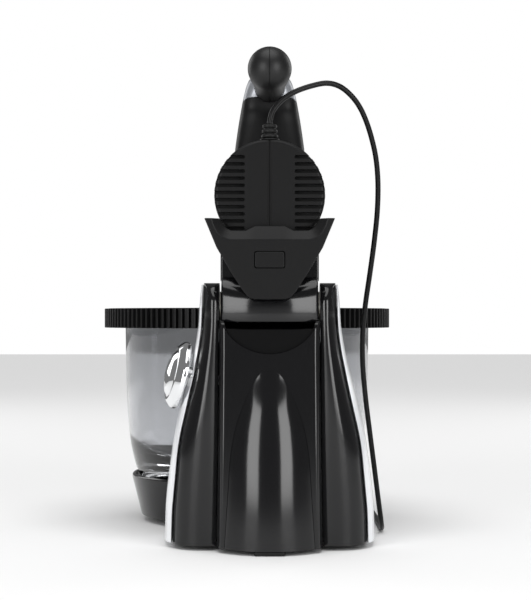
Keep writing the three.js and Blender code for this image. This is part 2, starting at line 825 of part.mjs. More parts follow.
// The column's front face between the shells, with a top shelf ahead of the hinge and the rib that
// the latch spring pushes on.
function frontCover() {
  const low = BASE_TOP_Z + GAP;
  const outline = shapeOf([
    [-1, 0],
    [1, 0],
    [1, 1],
    [-1, 1],
  ]);
  const faceHalf = (z) => COVER_HALF + (shellHalf(z) - COVER_HALF) * 0.3 - 1;
  const face = shaped(outline, low, 157, 8, (u, v, z) => [
    u * faceHalf(z),
    columnFront(z) - WALL - 0.5 + v * WALL,
  ]);
  const shelf = block(-EAR_IN_X + 3, EAR_IN_X - 3, LUG_Y[1] - 2, 95.2, 154, 157);
  const rib = block(SPRING_RIB_X, SPRING_RIB_X + 3, LUG_Y[0] - 8, 104, 122, 140);
  const post = block(SPRING_RIB_X, SPRING_RIB_X + 3, 80, 95, 138, 155);
  const latchSlot = block(LUG_X[1] + 2, LUG_X[1] + 12, LUG_Y[0], LUG_Y[1] + 2, 150, 160);
  put(stand, "front_cover", joined(face, shelf, rib, post).subtract(latchSlot), GLOSS_BLACK);
}

function tiltButton() {
  const standOff = BUTTON_STAND;
  const cap = turned(
    [
      [0, -14.5],
      [BUTTON_STEM_R, -14.5],
      [BUTTON_STEM_R, standOff],
      [BUTTON_R - 1, standOff],
      [BUTTON_R, standOff + 1],
      [BUTTON_R, standOff + 3.4],
      [BUTTON_R - 4.5, standOff + 8.2],
      [BUTTON_R - 8, standOff + 9],
      [15, standOff + 11.4],
      [8, standOff + 13],
      [0, standOff + 13.6],
    ],
    0,
    0,
    28,
  );
  put(stand, "tilt_button", onLeftSide(cap), CHROME);

  // the bar that the button pushes, with a hook that reaches for the notch in the arm's lug
  const [barEnd, hookLow, hookTop] = [LUG_X[1] + 7, HINGE_Z + 2.5, HINGE_Z + 6.5];
  const barFront = LUG_Y[1] - 2;
  const bar = joined(
    block(-47.3, -43, LUG_Y[0] - 10, barFront, 122, 140),
    block(-47.3, barEnd, LUG_Y[0] - 4, barFront, 124, 131),
    block(barEnd - 4, barEnd, LUG_Y[0] + 2, LUG_Y[1], 124, hookTop),
    block(LUG_X[1] + 0.4, barEnd, LUG_Y[0] + 2, LUG_Y[1], hookLow, hookTop),
  );
  put(stand, "latch_bar", bar, STEEL);

  const wire = 1;
  const helix = [];
  const [from, to] = [barEnd + GAP + wire / 2, SPRING_RIB_X - GAP - wire / 2];
  const [turns, perTurn] = [4, 8];
  for (let k = 0; k <= turns * perTurn; k += 1) {
    const a = (2 * Math.PI * k) / perTurn;
    const x = from + ((to - from) * k) / (turns * perTurn);
    helix.push([x, LUG_Y[0] + 1 + 4 * Math.cos(a), 127.5 + 4 * Math.sin(a)]);
  }
  put(stand, "latch_spring", tube(helix, wire, 5, turns * perTurn), STEEL);
}

function hinge() {
  put(stand, "hinge_pin", rodX(HINGE_PIN_R, -PIN_HALF, PIN_HALF, HINGE_Y, HINGE_Z, 24), STEEL);
  for (const [name, side] of [
    ["hinge_washer_left", -1],
    ["hinge_washer_right", 1],
  ]) {
    const [a, b] = [BARREL_HALF + GAP, EAR_IN_X - GAP];
    const [x0, x1] = side > 0 ? [a, b] : [-b, -a];
    const disc = rodX(11, x0, x1, HINGE_Y, HINGE_Z, 24);
    const hole = rodX(HINGE_PIN_R + RUN, x0 - 1, x1 + 1, HINGE_Y, HINGE_Z, 24);
    put(stand, name, disc.subtract(hole), NYLON);
  }
}

// ---------------------------------------------------------------- gear train

// Where the drive gear's shaft stands: outside the rim, on the stand's middle plane.
const PINION_PITCH_R = (RIM_PITCH_R * PINION_TEETH) / RIM_TEETH;
const DRIVE_DISTANCE = RIM_PITCH_R + PINION_PITCH_R;
const DRIVE_AT = [0, BOWL_FORWARD - Math.sqrt(DRIVE_DISTANCE ** 2 - STAND_X ** 2)];
const pitchR = (teeth) => (GEAR_MODULE * teeth) / 2;
const COLLAR_AT = [-BEATER_HALF_SPAN, BEATER_Y];
const CASE_BACK_Y = DRIVE_AT[1] - pitchR(WHEEL_TEETH) - GEAR_TIP - 3.16; // the gear room's rear wall

// The idler fills the way from the drive wheel to the beater's collar, and meets both.
const IDLER_TEETH = Math.ceil(
  Math.hypot(COLLAR_AT[0] - DRIVE_AT[0], COLLAR_AT[1] - DRIVE_AT[1]) / GEAR_MODULE -
    (WHEEL_TEETH + COLLAR_TEETH) / 2,
);
function idlerPlace() {
  const toDrive = pitchR(WHEEL_TEETH) + pitchR(IDLER_TEETH);
  const toCollar = pitchR(COLLAR_TEETH) + pitchR(IDLER_TEETH);
  const dx = COLLAR_AT[0] - DRIVE_AT[0];
  const dy = COLLAR_AT[1] - DRIVE_AT[1];
  const span = Math.hypot(dx, dy);
  const along = (toDrive ** 2 - toCollar ** 2 + span ** 2) / (2 * span);
  const aside = Math.sqrt(Math.max(0, toDrive ** 2 - along ** 2));
  return [
    DRIVE_AT[0] + (along * dx + aside * dy) / span,
    DRIVE_AT[1] + (along * dy - aside * dx) / span,
  ];
}
const IDLER_AT = idlerPlace();
const direction = (from, to) => Math.atan2(to[1] - from[1], to[0] - from[0]);

function spurGear(teeth, at, angle) {
  const r = pitchR(teeth);
  const shape = gearShape(teeth, r - 1.9, r + GEAR_TIP, r, 0.42, angle);
  return upright(shape, GEAR_LOW_Z, GEAR_TOP_Z).translate([at[0], at[1], 0]);
}

const PINION_ANGLE = meshedAngle(
  0,
  RIM_TEETH,
  direction([bowlX, BOWL_FORWARD], DRIVE_AT),
  PINION_TEETH,
);
const WHEEL_ANGLE = 0;
const IDLER_ANGLE = meshedAngle(
  WHEEL_ANGLE,
  WHEEL_TEETH,
  direction(DRIVE_AT, IDLER_AT),
  IDLER_TEETH,
);
const COLLAR_ANGLE = meshedAngle(
  IDLER_ANGLE,
  IDLER_TEETH,
  direction(IDLER_AT, COLLAR_AT),
  COLLAR_TEETH,
);

function gearTrain() {
  const pinionTip = PINION_PITCH_R + GEAR_TIP;
  const pinionRoot = PINION_PITCH_R - 2.25;
  const teeth = gearShape(
    PINION_TEETH,
    pinionRoot,
    pinionTip,
    PINION_PITCH_R,
    0.38,
    PINION_ANGLE,
  );
  const pinion = upright(teeth, PINION_LOW_Z, PINION_TOP_Z).translate([...DRIVE_AT, 0]);
  const shaft = rod(DRIVE_SHAFT_R, PINION_LOW_Z + 1, DECK_TOP_Z - 1, ...DRIVE_AT, 16);
  const hub = rod(9, GEAR_LOW_Z - 1.4, GEAR_TOP_Z + 2, ...DRIVE_AT, 16);
  const wheel = spurGear(WHEEL_TEETH, DRIVE_AT, WHEEL_ANGLE);
  put(stand, "bowl_drive_gear", joined(pinion, shaft, hub, wheel), NYLON);

  const pinR = 3;
  const idler = spurGear(IDLER_TEETH, IDLER_AT, IDLER_ANGLE);
  const bore = rod(pinR + RUN, GEAR_LOW_Z - 1, GEAR_TOP_Z + 1, ...IDLER_AT, 16);
  put(stand, "idler_gear", idler.subtract(bore), NYLON);
  put(stand, "idler_pin", rod(pinR, ARM_LOW_Z + 3.2, DECK_TOP_Z - 1, ...IDLER_AT, 16), STEEL);
}

// ---------------------------------------------------------------- arm

const LOWER_COVER_THICK = 2.5;

function arm() {
  const inner = ARM_HALF - ARM_WALL;
  const deckLow = DECK_TOP_Z - DECK_THICK;
  const barrel = rodX(BARREL_R, -BARREL_HALF, BARREL_HALF, HINGE_Y, HINGE_Z, 32);
  const outerCase = block(-ARM_HALF, ARM_HALF, HINGE_Y - 11, ARM_FRONT_Y, ARM_LOW_Z, ARM_WALL_TOP_Z);
  const trayRoom = block(-inner, inner, HINGE_Y - 15, ARM_FRONT_Y + 1, DECK_TOP_Z, ARM_WALL_TOP_Z + 1);
  const gearRoom = block(-inner, inner, CASE_BACK_Y, ARM_FRONT_Y - 3, ARM_LOW_Z - 1, deckLow);
  const neck = block(-BARREL_HALF, BARREL_HALF, HINGE_Y - 11, HINGE_Y + 21, HINGE_Z + 8, ARM_LOW_Z + 2);
  const lug = block(...LUG_X, ...LUG_Y, HINGE_Z + 0.5, GEAR_LOW_Z - 2);
  const lugRoot = block(...LUG_X, HINGE_Y + 15, LUG_Y[1], ARM_LOW_Z + 0.5, GEAR_LOW_Z - 2);
  let body = outerCase.subtract(trayRoom).subtract(gearRoom);
  body = joined(body, neck, barrel, lug, lugRoot);
  body = body.subtract(rodX(HINGE_PIN_R + RUN, -60, 60, HINGE_Y, HINGE_Z, 24));
  body = body.subtract(rod(DRIVE_SHAFT_R + RUN, deckLow - 1, DECK_TOP_Z + 1, ...DRIVE_AT, 16));
  body = body.subtract(
    block(LUG_X[1] - 2, LUG_X[1] + 1, LUG_Y[0] - 1, LUG_Y[1] + 1, HINGE_Z + 2, HINGE_Z + 7),
  );
  body = body.subtract(rod(3 + GAP, deckLow - 1, DECK_TOP_Z + 1, ...IDLER_AT, 16));
  for (const side of [-1, 1]) {
    const at = [side * BEATER_HALF_SPAN, BEATER_Y];
    body = body.subtract(rod(SHANK_R + 4, deckLow - 1, DECK_TOP_Z + 1, ...at, 20));
  }
  put(stand, "arm_body", body, GLOSS_BLACK);

  const coverTop = ARM_LOW_Z + LOWER_COVER_THICK;
  const edge = inner - GAP;
  // it starts ahead of the lug and of the gear room's rear wall
  const coverBackY = Math.max(LUG_Y[1] + 1, CASE_BACK_Y + GAP);
  let cover = block(-edge, edge, coverBackY, ARM_FRONT_Y - 3 - GAP, ARM_LOW_Z, coverTop);
  cover = cover.subtract(rod(DRIVE_SHAFT_R + 1, ARM_LOW_Z - 1, coverTop + 1, ...DRIVE_AT, 16));
  for (const side of [-1, 1]) {
    const r = pitchR(COLLAR_TEETH) + GEAR_TIP + 0.8;
    const at = [side * BEATER_HALF_SPAN, BEATER_Y];
    cover = cover.subtract(rod(r, ARM_LOW_Z - 1, coverTop + 1, ...at, 24));
  }
  put(stand, "arm_lower_cover", cover, SATIN_BLACK);
}

// ---------------------------------------------------------------- cradle

const CRADLE_BACK_Y = 7;
const CRADLE_FRONT_Y = 19;
const CRADLE_TOP_Z = 250.8;
const CRADLE_TOP_HALF = 48.8;
const RELEASE_HALF = 11.2;
const RELEASE_HIGH = 12.2;
const RELEASE_Z = 219.7;
const RELEASE_TRAVEL = 2.5;

function cradle() {
  const face = shapeOf([
    [-CRADLE_TOP_HALF, CRADLE_TOP_Z],
    [-39.7, 228.9],
    [-28.2, 209.4],
    [-20, 196.6],
    [-16, 191.8],
    [-12, 190.2],
    [12, 190.2],
    [16, 191.8],
    [20, 196.6],
    [28.2, 209.4],
    [39.7, 228.9],
    [CRADLE_TOP_HALF, CRADLE_TOP_Z],
    [37.4, CRADLE_TOP_Z],
    [31.5, 241.8],
    [17, 241.8],
    [11.6, 245],
    [-11.6, 245],
    [-17, 241.8],
    [-31.5, 241.8],
    [-37.4, CRADLE_TOP_Z],
  ]);
  const plate = alongY(face, CRADLE_BACK_Y, CRADLE_FRONT_Y);
  // the saddle under the motor housing, resting on the arm's deck
  const foot = block(-24, 24, CRADLE_FRONT_Y - 1, 33.6, 209.4, 224);
  const tongue = block(-33, 33, 30, 58, DECK_TOP_Z + GAP, MIXER_LOW_Z - GAP);
  const link = block(-24, 24, 22, 33.6, 220, MIXER_LOW_Z - GAP);
  const clear = rodX(BARREL_R + 1.2, -60, 60, HINGE_Y, HINGE_Z, 32);
  let body = joined(plate, foot, link, tongue).subtract(clear);
  const [half, high] = [RELEASE_HALF + RUN, RELEASE_HIGH / 2 + RUN];
  const pocketFloor = CRADLE_FRONT_Y - 2;
  body = body.subtract(
    block(-half, half, CRADLE_BACK_Y - 1, pocketFloor, RELEASE_Z - high, RELEASE_Z + high),
  );
  put(stand, "cradle", body, SATIN_BLACK);

  const button = block(
    -RELEASE_HALF,
    RELEASE_HALF,
    CRADLE_BACK_Y - 0.5,
    CRADLE_BACK_Y + 4.5,
    RELEASE_Z - RELEASE_HIGH / 2,
    RELEASE_Z + RELEASE_HIGH / 2,
  );
  put(stand, "release_button", button, SATIN_BLACK);

  const turns = 3;
  const perTurn = 8;
  const [from, to] = [CRADLE_BACK_Y + 4.5 + 0.9, pocketFloor - 0.9];
  const helix = [];
  for (let k = 0; k <= turns * perTurn; k += 1) {
    const a = (2 * Math.PI * k) / perTurn;
    const y = from + ((to - from) * k) / (turns * perTurn);
    helix.push([3.4 * Math.cos(a), y, RELEASE_Z + 3.4 * Math.sin(a)]);
  }
  put(stand, "release_spring", tube(helix, 0.8, 5, turns * perTurn), STEEL);
}

// ---------------------------------------------------------------- mixer

const NECK_FOOT_Z = MOTOR_Z + 26.6;
const NECK_TOP_Z = GRIP_Z + 16.2;
const NECK_SIDE = [
  [BEATER_Y - 22, NECK_FOOT_Z],
  [BEATER_Y - 20, NECK_FOOT_Z + 24],
  [BEATER_Y - 14, GRIP_Z - 26.8],
  [BEATER_Y - 22, GRIP_Z - 13.8],
  [BEATER_Y - 22, GRIP_Z + 13.2],
  [BEATER_Y + 12, NECK_TOP_Z],
  [BEATER_Y + 28, GRIP_Z + 10.2],
  [BEATER_Y + 39, GRIP_Z - 14.8],
  [BEATER_Y + 44, NECK_FOOT_Z + 24],
  [BEATER_Y + 42, NECK_FOOT_Z],
];
const NECK_HALF = [
  [31, NECK_FOOT_Z],
  [28.6, NECK_FOOT_Z + 27.4],
  [24.6, GRIP_Z - 15.2],
  [19.1, GRIP_Z + 11.7],
  [12, NECK_TOP_Z + 1],
];

// The neck and the front of the handle, drawn in by inset.
function neck(inset) {
  const middle = [BEATER_Y + 10, GRIP_Z - 28.8];
  const shrink = ([y, z]) => {
    const [dy, dz] = [y - middle[0], z - middle[1]];
    return [
      middle[0] + dy * (1 - inset / 32),
      z < NECK_FOOT_Z + 4 ? z : middle[1] + dz * (1 - inset / 44),
    ];
  };
  const side = alongX(shapeOf(NECK_SIDE.map(shrink)), -40, 40);
  const right = NECK_HALF.map(([x, z]) => [x - inset, z > NECK_TOP_Z ? z - inset : z]);
  const left = right.map(([x, z]) => [-x, z]).reverse();
  return side.intersect(alongY(shapeOf([...right, ...left]), BEATER_Y - 72, BEATER_Y + 68));
}

function mixerBody(inset) {
  const r = MOTOR_R - inset;
  const drum = turnedY(
    [
      [0, MOTOR_BACK_Y + inset],
      [r - MOTOR_EDGE, MOTOR_BACK_Y + inset],
      [r - 0.9, MOTOR_BACK_Y + inset + 0.9],
      [r, MOTOR_BACK_Y + inset + MOTOR_EDGE],
      [r, BEATER_Y - 22],
      [r - 2.5, BEATER_Y + 4],
      [r - 9, BEATER_Y + 28],
      [r - 20, BEATER_Y + 43],
      [r - 32, MOTOR_FRONT_Y - 2 - inset],
      [0, MOTOR_FRONT_Y - inset],
    ],
    0,
    MOTOR_Z,
    inset > 0 ? 16 : 28,
  );
  const low = MIXER_LOW_Z + inset;
  const [half, back, front] = [34 - inset, BEATER_Y - 54 + inset, BEATER_Y + 32 - inset];
  const gearbox = block(-half, half, back, front, low, MIXER_LOW_Z + 24.6);
  return joined(drum, gearbox);
}

function gripBar(inset) {
  const grip = rodY(GRIP_R - inset, GRIP_END_R + MOTOR_BACK_Y, BEATER_Y - 2, 0, GRIP_Z, 20);
  const ball = solid(
    new THREE.SphereGeometry(GRIP_END_R - inset, 20, 12).translate(
      0,
      MOTOR_BACK_Y + GRIP_END_R,
      GRIP_Z,
    ),
  );
  return joined(grip, ball);
}

// The part of the neck that the silver trim covers, seen from the side, grown by extra.
const trimZone = (extra) =>
  alongX(
    shapeOf([
      [BEATER_Y - 9 - extra, GRIP_Z + 33.2],
      [BEATER_Y - 9 - extra, GRIP_Z + 2.2 - extra],
      [BEATER_Y + 6 - extra, GRIP_Z - 8.8 - extra],
      [BEATER_Y + 50 + extra, GRIP_Z - 20.8 - extra],
      [BEATER_Y + 50 + extra, GRIP_Z + 33.2],
    ]),
    -40,
    40,
  );

const EXIT = [0, MOTOR_BACK_Y + 8]; // the cord's way out of the housing
const SELECTOR_Y = BEATER_Y - 20;
const TURBO_Y = BEATER_Y - 46;
const EJECT_Y = BEATER_Y + 18;
const TRIM_THICK = 1.3;

function mixer() {
  const bareNeck = neck(0).subtract(trimZone(GAP));
  const outer = joined(mixerBody(0), gripBar(0), neck(TRIM_THICK), bareNeck);
  const inner = joined(mixerBody(WALL), gripBar(WALL), neck(TRIM_THICK + WALL));
  let shell = outer.subtract(inner);
  // vents: slots through the rear face, open at the rim
  const first = MOTOR_Z + 1.5 - (VENT_PITCH * (VENTS - 1)) / 2;
  for (let k = 0; k < VENTS; k += 1) {
    const z = first + k * VENT_PITCH;
    for (const side of [-1, 1]) {
      const reach = Math.sqrt((MOTOR_R - 1.2) ** 2 - (z - MOTOR_Z) ** 2);
      const [a, b] = [side * VENT_FROM_X, side * Math.max(reach, VENT_FROM_X + 6)];
      const slot = [Math.min(a, b), Math.max(a, b)];
      const high = VENT_HIGH / 2;
      shell = shell.subtract(block(...slot, MOTOR_BACK_Y - 1, MOTOR_BACK_Y + 6, z - high, z + high));
    }
  }
  // holes for the strain relief, the beater sockets and the controls
  shell = shell.subtract(rod(5.5, MOTOR_TOP_Z - 12, MOTOR_TOP_Z + 8, ...EXIT, 16));
  for (const side of [-1, 1]) {
    const at = [side * BEATER_HALF_SPAN, BEATER_Y];
    shell = shell.subtract(rod(8, MIXER_LOW_Z - 2, MIXER_LOW_Z + 6, ...at, 20));
  }
  shell = shell.subtract(block(-5.4, 5.4, SELECTOR_Y - 10, SELECTOR_Y + 27, GRIP_Z + 5.2, GRIP_Z + 25.2));
  shell = shell.subtract(block(-6.4, 6.4, TURBO_Y - 7.4, TURBO_Y + 7.4, GRIP_Z + 7.2, GRIP_Z + 25.2));
  shell = shell.subtract(block(-8.4, 8.4, EJECT_Y - 5.4, EJECT_Y + 5.4, GRIP_Z - 0.8, GRIP_Z + 25.2));
  const seam = GAP / 2;
  const rightHalf = block(seam, MOTOR_R + 18, 0, MOTOR_FRONT_Y + 37, ARM_LOW_Z, GRIP_Z + 33.2);
  put(stand, "mixer_housing_right", shell.intersect(rightHalf), SATIN_BLACK);
  put(stand, "mixer_housing_left", shell.intersect(mirrored(rightHalf)), SATIN_BLACK);

  // silver trim over the shoulders of the handle
  const covered = joined(neck(TRIM_THICK - GAP), gripBar(-GAP));
  let trim = neck(0).subtract(covered).intersect(trimZone(0));
  trim = trim.subtract(block(-6, 6, SELECTOR_Y - 12, SELECTOR_Y + 28, GRIP_Z + 5.2, GRIP_Z + 25.2));
  trim = trim.subtract(block(-9, 9, EJECT_Y - 6, EJECT_Y + 6, GRIP_Z - 0.8, GRIP_Z + 25.2));
  put(stand, "handle_trim", trim, SILVER_PAINT);
}

function controls() {
  const top = GRIP_Z + GRIP_R - 1.3;
  const selector = joined(
    block(-5, 5, SELECTOR_Y - 8, SELECTOR_Y + 8, top - 7, top + 1.6),
    block(-8, 8, SELECTOR_Y - 8, SELECTOR_Y + 8, top + 1.2, top + 4.4),
  );
  put(stand, "speed_selector", selector, SILVER_PAINT);
  const turbo = joined(
    block(-6, 6, TURBO_Y - 7, TURBO_Y + 7, top - 5, top + 1.8),
    block(-7.6, 7.6, TURBO_Y - 8.6, TURBO_Y + 8.6, top - 8.6, top - 4.4),
  );
  put(stand, "turbo_button", turbo, SATIN_BLACK);
  const eject = joined(
    block(-8, 8, EJECT_Y - 5, EJECT_Y + 5, GRIP_Z + 3.2, GRIP_Z + 19.4),
    block(-2.5, 2.5, EJECT_Y - 2.5, EJECT_Y + 2.5, GRIP_Z - 14.8, GRIP_Z + 4.2),
  );
  put(stand, "eject_button", eject, SILVER_PAINT);
  const [boardLow, boardTop] = [MOTOR_TOP_Z + 6.6, MOTOR_TOP_Z + 34.6];
  const board = block(-13, 13, BEATER_Y - 6, BEATER_Y - 4.4, boardLow, boardTop);
  put(stand, "control_board", board, BOARD_GREEN);
}

function motor() {
  const stack = shapeOf([
    [-28, -20],
    [-20, -28],
    [20, -28],
    [28, -20],
    [28, 20],
    [20, 28],
    [-20, 28],
    [-28, 20],
  ]);
  const statorR = 18;
  let stator = alongY(stack, 62, 100).translate([0, 0, MOTOR_Z]);
  stator = joined(stator, rodY(24, 52, 110, 0, MOTOR_Z, 24));
  stator = stator.subtract(rodY(statorR, 50, 112, 0, MOTOR_Z, 24));
  put(stand, "motor_stator", stator, COPPER);

  const rotor = turnedY(
    [
      [0, 33],
      [3, 33],
      [3, 60],
      [statorR - 1, 60],
      [statorR - 1, 102],
      [3, 102],
      [3, 114],
      [10, 114],
      [10, 124],
      [3, 124],
      [3, BEATER_Y + 22],
      [0, BEATER_Y + 22],
    ],
    0,
    MOTOR_Z,
    24,
  );
  put(stand, "motor_rotor", rotor, STEEL);

  const fanY = [130, 140];
  let fan = joined(rodY(7, ...fanY, 0, MOTOR_Z, 16), rodY(30, 130, 131.6, 0, MOTOR_Z, 24));
  for (let k = 0; k < 8; k += 1) {
    const blade = block(6, 29, 131, 140, -0.9, 0.9).rotate([0, k * 45, 0]);
    fan = fan.add(blade.translate([0, 0, MOTOR_Z]));
  }
  put(stand, "cooling_fan", fan.subtract(rodY(3 + GAP, 128, 142, 0, MOTOR_Z, 16)), NYLON);
}

const WORM_WHEEL_R = 15;
const SHANK_TOP_Z = MOTOR_Z - 7.4;

function gearbox() {
  const wall = 2;
  const [back, front, low] = [BEATER_Y - 24, BEATER_Y + 24, MIXER_LOW_Z + 15.6];
  const upper = block(-29, 29, back, back + wall, low, MOTOR_Z + 20.6);
  const floor = block(-30, 30, back, front, low, low + wall);
  const end = block(-12, 12, front - 1.4, front, low, MOTOR_Z + 10.6);
  const shaftHole = rodY(3 + RUN, back - 8, front + 4, 0, MOTOR_Z, 16);
  let frame = joined(upper, floor, end).subtract(shaftHole);
  for (const side of [-1, 1]) {
    const at = [side * BEATER_HALF_SPAN, BEATER_Y];
    frame = frame.subtract(rod(6.5 + RUN, low - 3, low + 5, ...at, 20));
  }
  put(stand, "gear_frame", frame, STEEL);

  for (const [name, side] of [
    ["left", -1],
    ["right", 1],
  ]) {
    const at = [side * BEATER_HALF_SPAN, BEATER_Y];
    const teeth = rod(WORM_WHEEL_R, MOTOR_Z - 6.4, MOTOR_Z + 6.2, ...at, 24);
    const hub = rod(6.5, MIXER_LOW_Z + 1, MOTOR_Z - 5.4, ...at, 16);
    const socket = rod(SHANK_R + 0.25, MIXER_LOW_Z, SHANK_TOP_Z + 0.5, ...at, 12);
    put(stand, "worm_wheel_" + name, joined(teeth, hub).subtract(socket), NYLON);

    const turn = side < 0 ? 0 : Math.PI / 4;
    put(stand, "beater_" + name, beater(turn).translate([...at, 0]), CHROME);
  }
  const bore = rod(SHANK_R + 0.25, GEAR_LOW_Z - 2, GEAR_TOP_Z + 2, ...COLLAR_AT, 16);
  const collar = spurGear(COLLAR_TEETH, COLLAR_AT, COLLAR_ANGLE).subtract(bore);
  put(stand, "beater_collar_gear", collar, NYLON);
}

// One beater: a shank and four flat wires, the first one in direction turn.
function beater(turn) {
  const shank = rod(SHANK_R, BEATER_LOW_Z + 4, SHANK_TOP_Z, 0, 0, 12);
  const knob = rod(SHANK_R + 1.8, BEATER_LOW_Z + 1, BEATER_LOW_Z + 9, 0, 0, 12);
  let body = joined(shank, knob);
  const wire = [
    [2.6, 152],
    [12, 146],
    [20, 132],
    [BEATER_R - 0.8, 110],
    [BEATER_R - 0.8, 84],
    [18, 66],
    [10, BEATER_LOW_Z + 5],
    [2, BEATER_LOW_Z + 4],
  ];
  const [thick, wide] = [1.6, 5];
  const outer = wire.map(([r, z], i) => {
    const lean = i < 3 ? 0.7 : i > 5 ? -0.6 : 0;
    return [r + (thick / 2) * (i === 3 || i === 4 ? 1 : 0.7), z + (thick / 2) * lean];
  });
  const innerSide = wire.map(([r, z], i) => {
    const lean = i < 3 ? 0.7 : i > 5 ? -0.6 : 0;
    return [r - (thick / 2) * (i === 3 || i === 4 ? 1 : 0.7), z - (thick / 2) * lean];
  });
  const strip = alongY(shapeOf([...outer, ...innerSide.reverse()]), -wide / 2, wide / 2);
  for (let k = 0; k < 4; k += 1) {
    const degrees = THREE.MathUtils.radToDeg(turn) + 90 * k;
    body = body.add(strip.rotate([0, 0, degrees]));
  }
  return body;
}

// ---------------------------------------------------------------- cord

const RELIEF_TOP_Z = MOTOR_TOP_Z + 12;

// The cord's free stretch: out of the strain relief, over in an arch, down beside the column and
// along the floor, to where the coil begins.
const CORD_ROUTE = [
  [0, 30, RELIEF_TOP_Z + 0.3],
  [0.6, 30, 328],
  [2.4, 30.2, 333.5],
  [8.4, 31, 341],
  [17.5, 32.5, 347.4],
  [31, 36, 353],
  [44.5, 40, 355.9],
  [54.5, 44, 353.6],
  [64, 48, 346.2],
  [70.4, 51.5, 337.6],
  [75.2, 55, 327.5],
  [79, 58.5, 316.5],
  [82.6, 62.5, 302],
  [84.6, 67, 284],
  [84.6, 72, 262],
  [82.6, 77, 238],
  [79.4, 82, 212],
  [76, 88, 186],
  [74.2, 93, 162],
  [74.6, 97, 138],
  [77, 100, 112],
  [80.6, 103, 84],
  [84.4, 107, 56],
  [88, 113, 30],
  [91, 123, 11],
  [92.6, 137, 3.2],
  [93, 156, 2.3],
  [93, 190, 2.3],
  [92.4, 226, 2.3],
  [91.6, 262, 2.3],
  [88, 300, 2.3],
  [82, 334, 2.3],
  [77.4, 358, 2.3],
  [75, 371, 2.3],
];
const COIL_AT = [48.5, 386]; // the coil's middle, from the stand's frame
const PLUG_TAIL = [18.2, 396.8];
const PLUG_TURN = -58; // degrees from pointing back

function cord() {
  const relief = turned(
    [
      [0, MOTOR_TOP_Z - 10.4],
      [3.6, MOTOR_TOP_Z - 10.4],
      [5.1, MOTOR_TOP_Z - 7.4],
      [5.1, MOTOR_TOP_Z - 0.2],
      [5.3, MOTOR_TOP_Z + 0.6],
      [7.5, MOTOR_TOP_Z + 0.6],
      [6.6, MOTOR_TOP_Z + 2.6],
      [4.7, MOTOR_TOP_Z + 3.2],
      [4.7, MOTOR_TOP_Z + 4.2],
      [6.35, MOTOR_TOP_Z + 4.6],
      [6.35, MOTOR_TOP_Z + 7],
      [4.5, MOTOR_TOP_Z + 7.4],
      [4.5, MOTOR_TOP_Z + 8.4],
      [5.25, MOTOR_TOP_Z + 8.8],
      [5.25, MOTOR_TOP_Z + 11.5],
      [4.6, RELIEF_TOP_Z],
      [0, RELIEF_TOP_Z],
    ],
    ...EXIT,
    12,
  );
  put(stand, "cord_strain_relief", relief, RUBBER);
  put(stand, "power_cord", tube(CORD_ROUTE, CORD_D, 8, 78), RUBBER);
  const half = (COIL_ACROSS * CORD_D) / 2;
  const high = COIL_UP * CORD_D;
  const low = 0.2;
  const coil = turned(
    [
      [COIL_R - half, low],
      [COIL_R + half, low],
      [COIL_R + half, low + high],
      [COIL_R - half, low + high],
      [COIL_R - half, low],
    ],
    ...COIL_AT,
    32,
  );
  put(stand, "cord_coil", coil, RUBBER);
  // a flat two-pin plug lying beside the coil, its tail towards the coil's last turn
  const body = shapeOf([
    [-6.8, -35],
    [6.8, -35],
    [6.8, -11],
    [3.6, 0],
    [-3.6, 0],
    [-6.8, -11],
  ]);
  let plug = upright(body, 0.2, 13.4);
  for (const side of [-1, 1]) {
    plug = plug.add(rodY(2, -54, -34, side * 4.6, 6.8, 12));
  }
  put(stand, "plug", plug.rotate([0, 0, PLUG_TURN]).translate([...PLUG_TAIL, 0]), RUBBER);
}

// ---------------------------------------------------------------- assembly

bowl();
bowlRim();
turntable();
base();
feet();
column();
rearCover();
hingeWell();
frontCover();
tiltButton();
hinge();
gearTrain();
arm();
cradle();
mixer();
controls();
motor();
gearbox();
cord();

export default object;
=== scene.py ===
"""A hand mixer on a tilt-head stand with a turning bowl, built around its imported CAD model.

Sizes are in millimetres in a local frame (the stand's or the bowl's) and become metres in the row
frame when a piece is finished.
"""

import json
import logging
import math
from dataclasses import dataclass, field
from enum import Enum
from typing import ClassVar, Sequence

import bmesh
import bpy
from mathutils import Matrix, Vector


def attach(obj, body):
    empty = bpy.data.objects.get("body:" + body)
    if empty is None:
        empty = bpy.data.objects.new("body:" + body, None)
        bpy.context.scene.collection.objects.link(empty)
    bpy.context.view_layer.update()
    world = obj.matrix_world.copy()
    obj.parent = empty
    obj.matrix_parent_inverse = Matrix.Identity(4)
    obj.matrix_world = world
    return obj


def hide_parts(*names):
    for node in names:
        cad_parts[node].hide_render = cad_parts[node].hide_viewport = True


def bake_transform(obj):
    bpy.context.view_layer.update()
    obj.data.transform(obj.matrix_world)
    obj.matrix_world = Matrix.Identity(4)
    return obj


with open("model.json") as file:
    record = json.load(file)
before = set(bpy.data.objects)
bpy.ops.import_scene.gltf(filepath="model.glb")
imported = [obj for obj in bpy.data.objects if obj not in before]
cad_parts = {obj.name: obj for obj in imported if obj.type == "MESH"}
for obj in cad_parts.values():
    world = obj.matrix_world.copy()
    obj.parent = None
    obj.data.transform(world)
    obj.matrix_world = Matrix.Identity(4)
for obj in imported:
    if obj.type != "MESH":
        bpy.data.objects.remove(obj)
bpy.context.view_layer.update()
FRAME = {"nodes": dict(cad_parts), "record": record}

LOG = logging.getLogger("stand_mixer")
MM = 0.001
RIM_R = 125.5  # the toothed rim, over its teeth
BOWL_FORWARD = 231.2  # the bowl's axis ahead of the stand's hindmost point
REAR_Y = -(BOWL_FORWARD + RIM_R) / 2
HINGE_Y = 45.0
HINGE_Z = 185.5
PIN_HOLE_R = 5.3
BEATER_Y = 172.0
BEATER_HALF_SPAN = 19.5
ROUNDED_EDGE = 35.0  # edges sharper than this many degrees are rounded
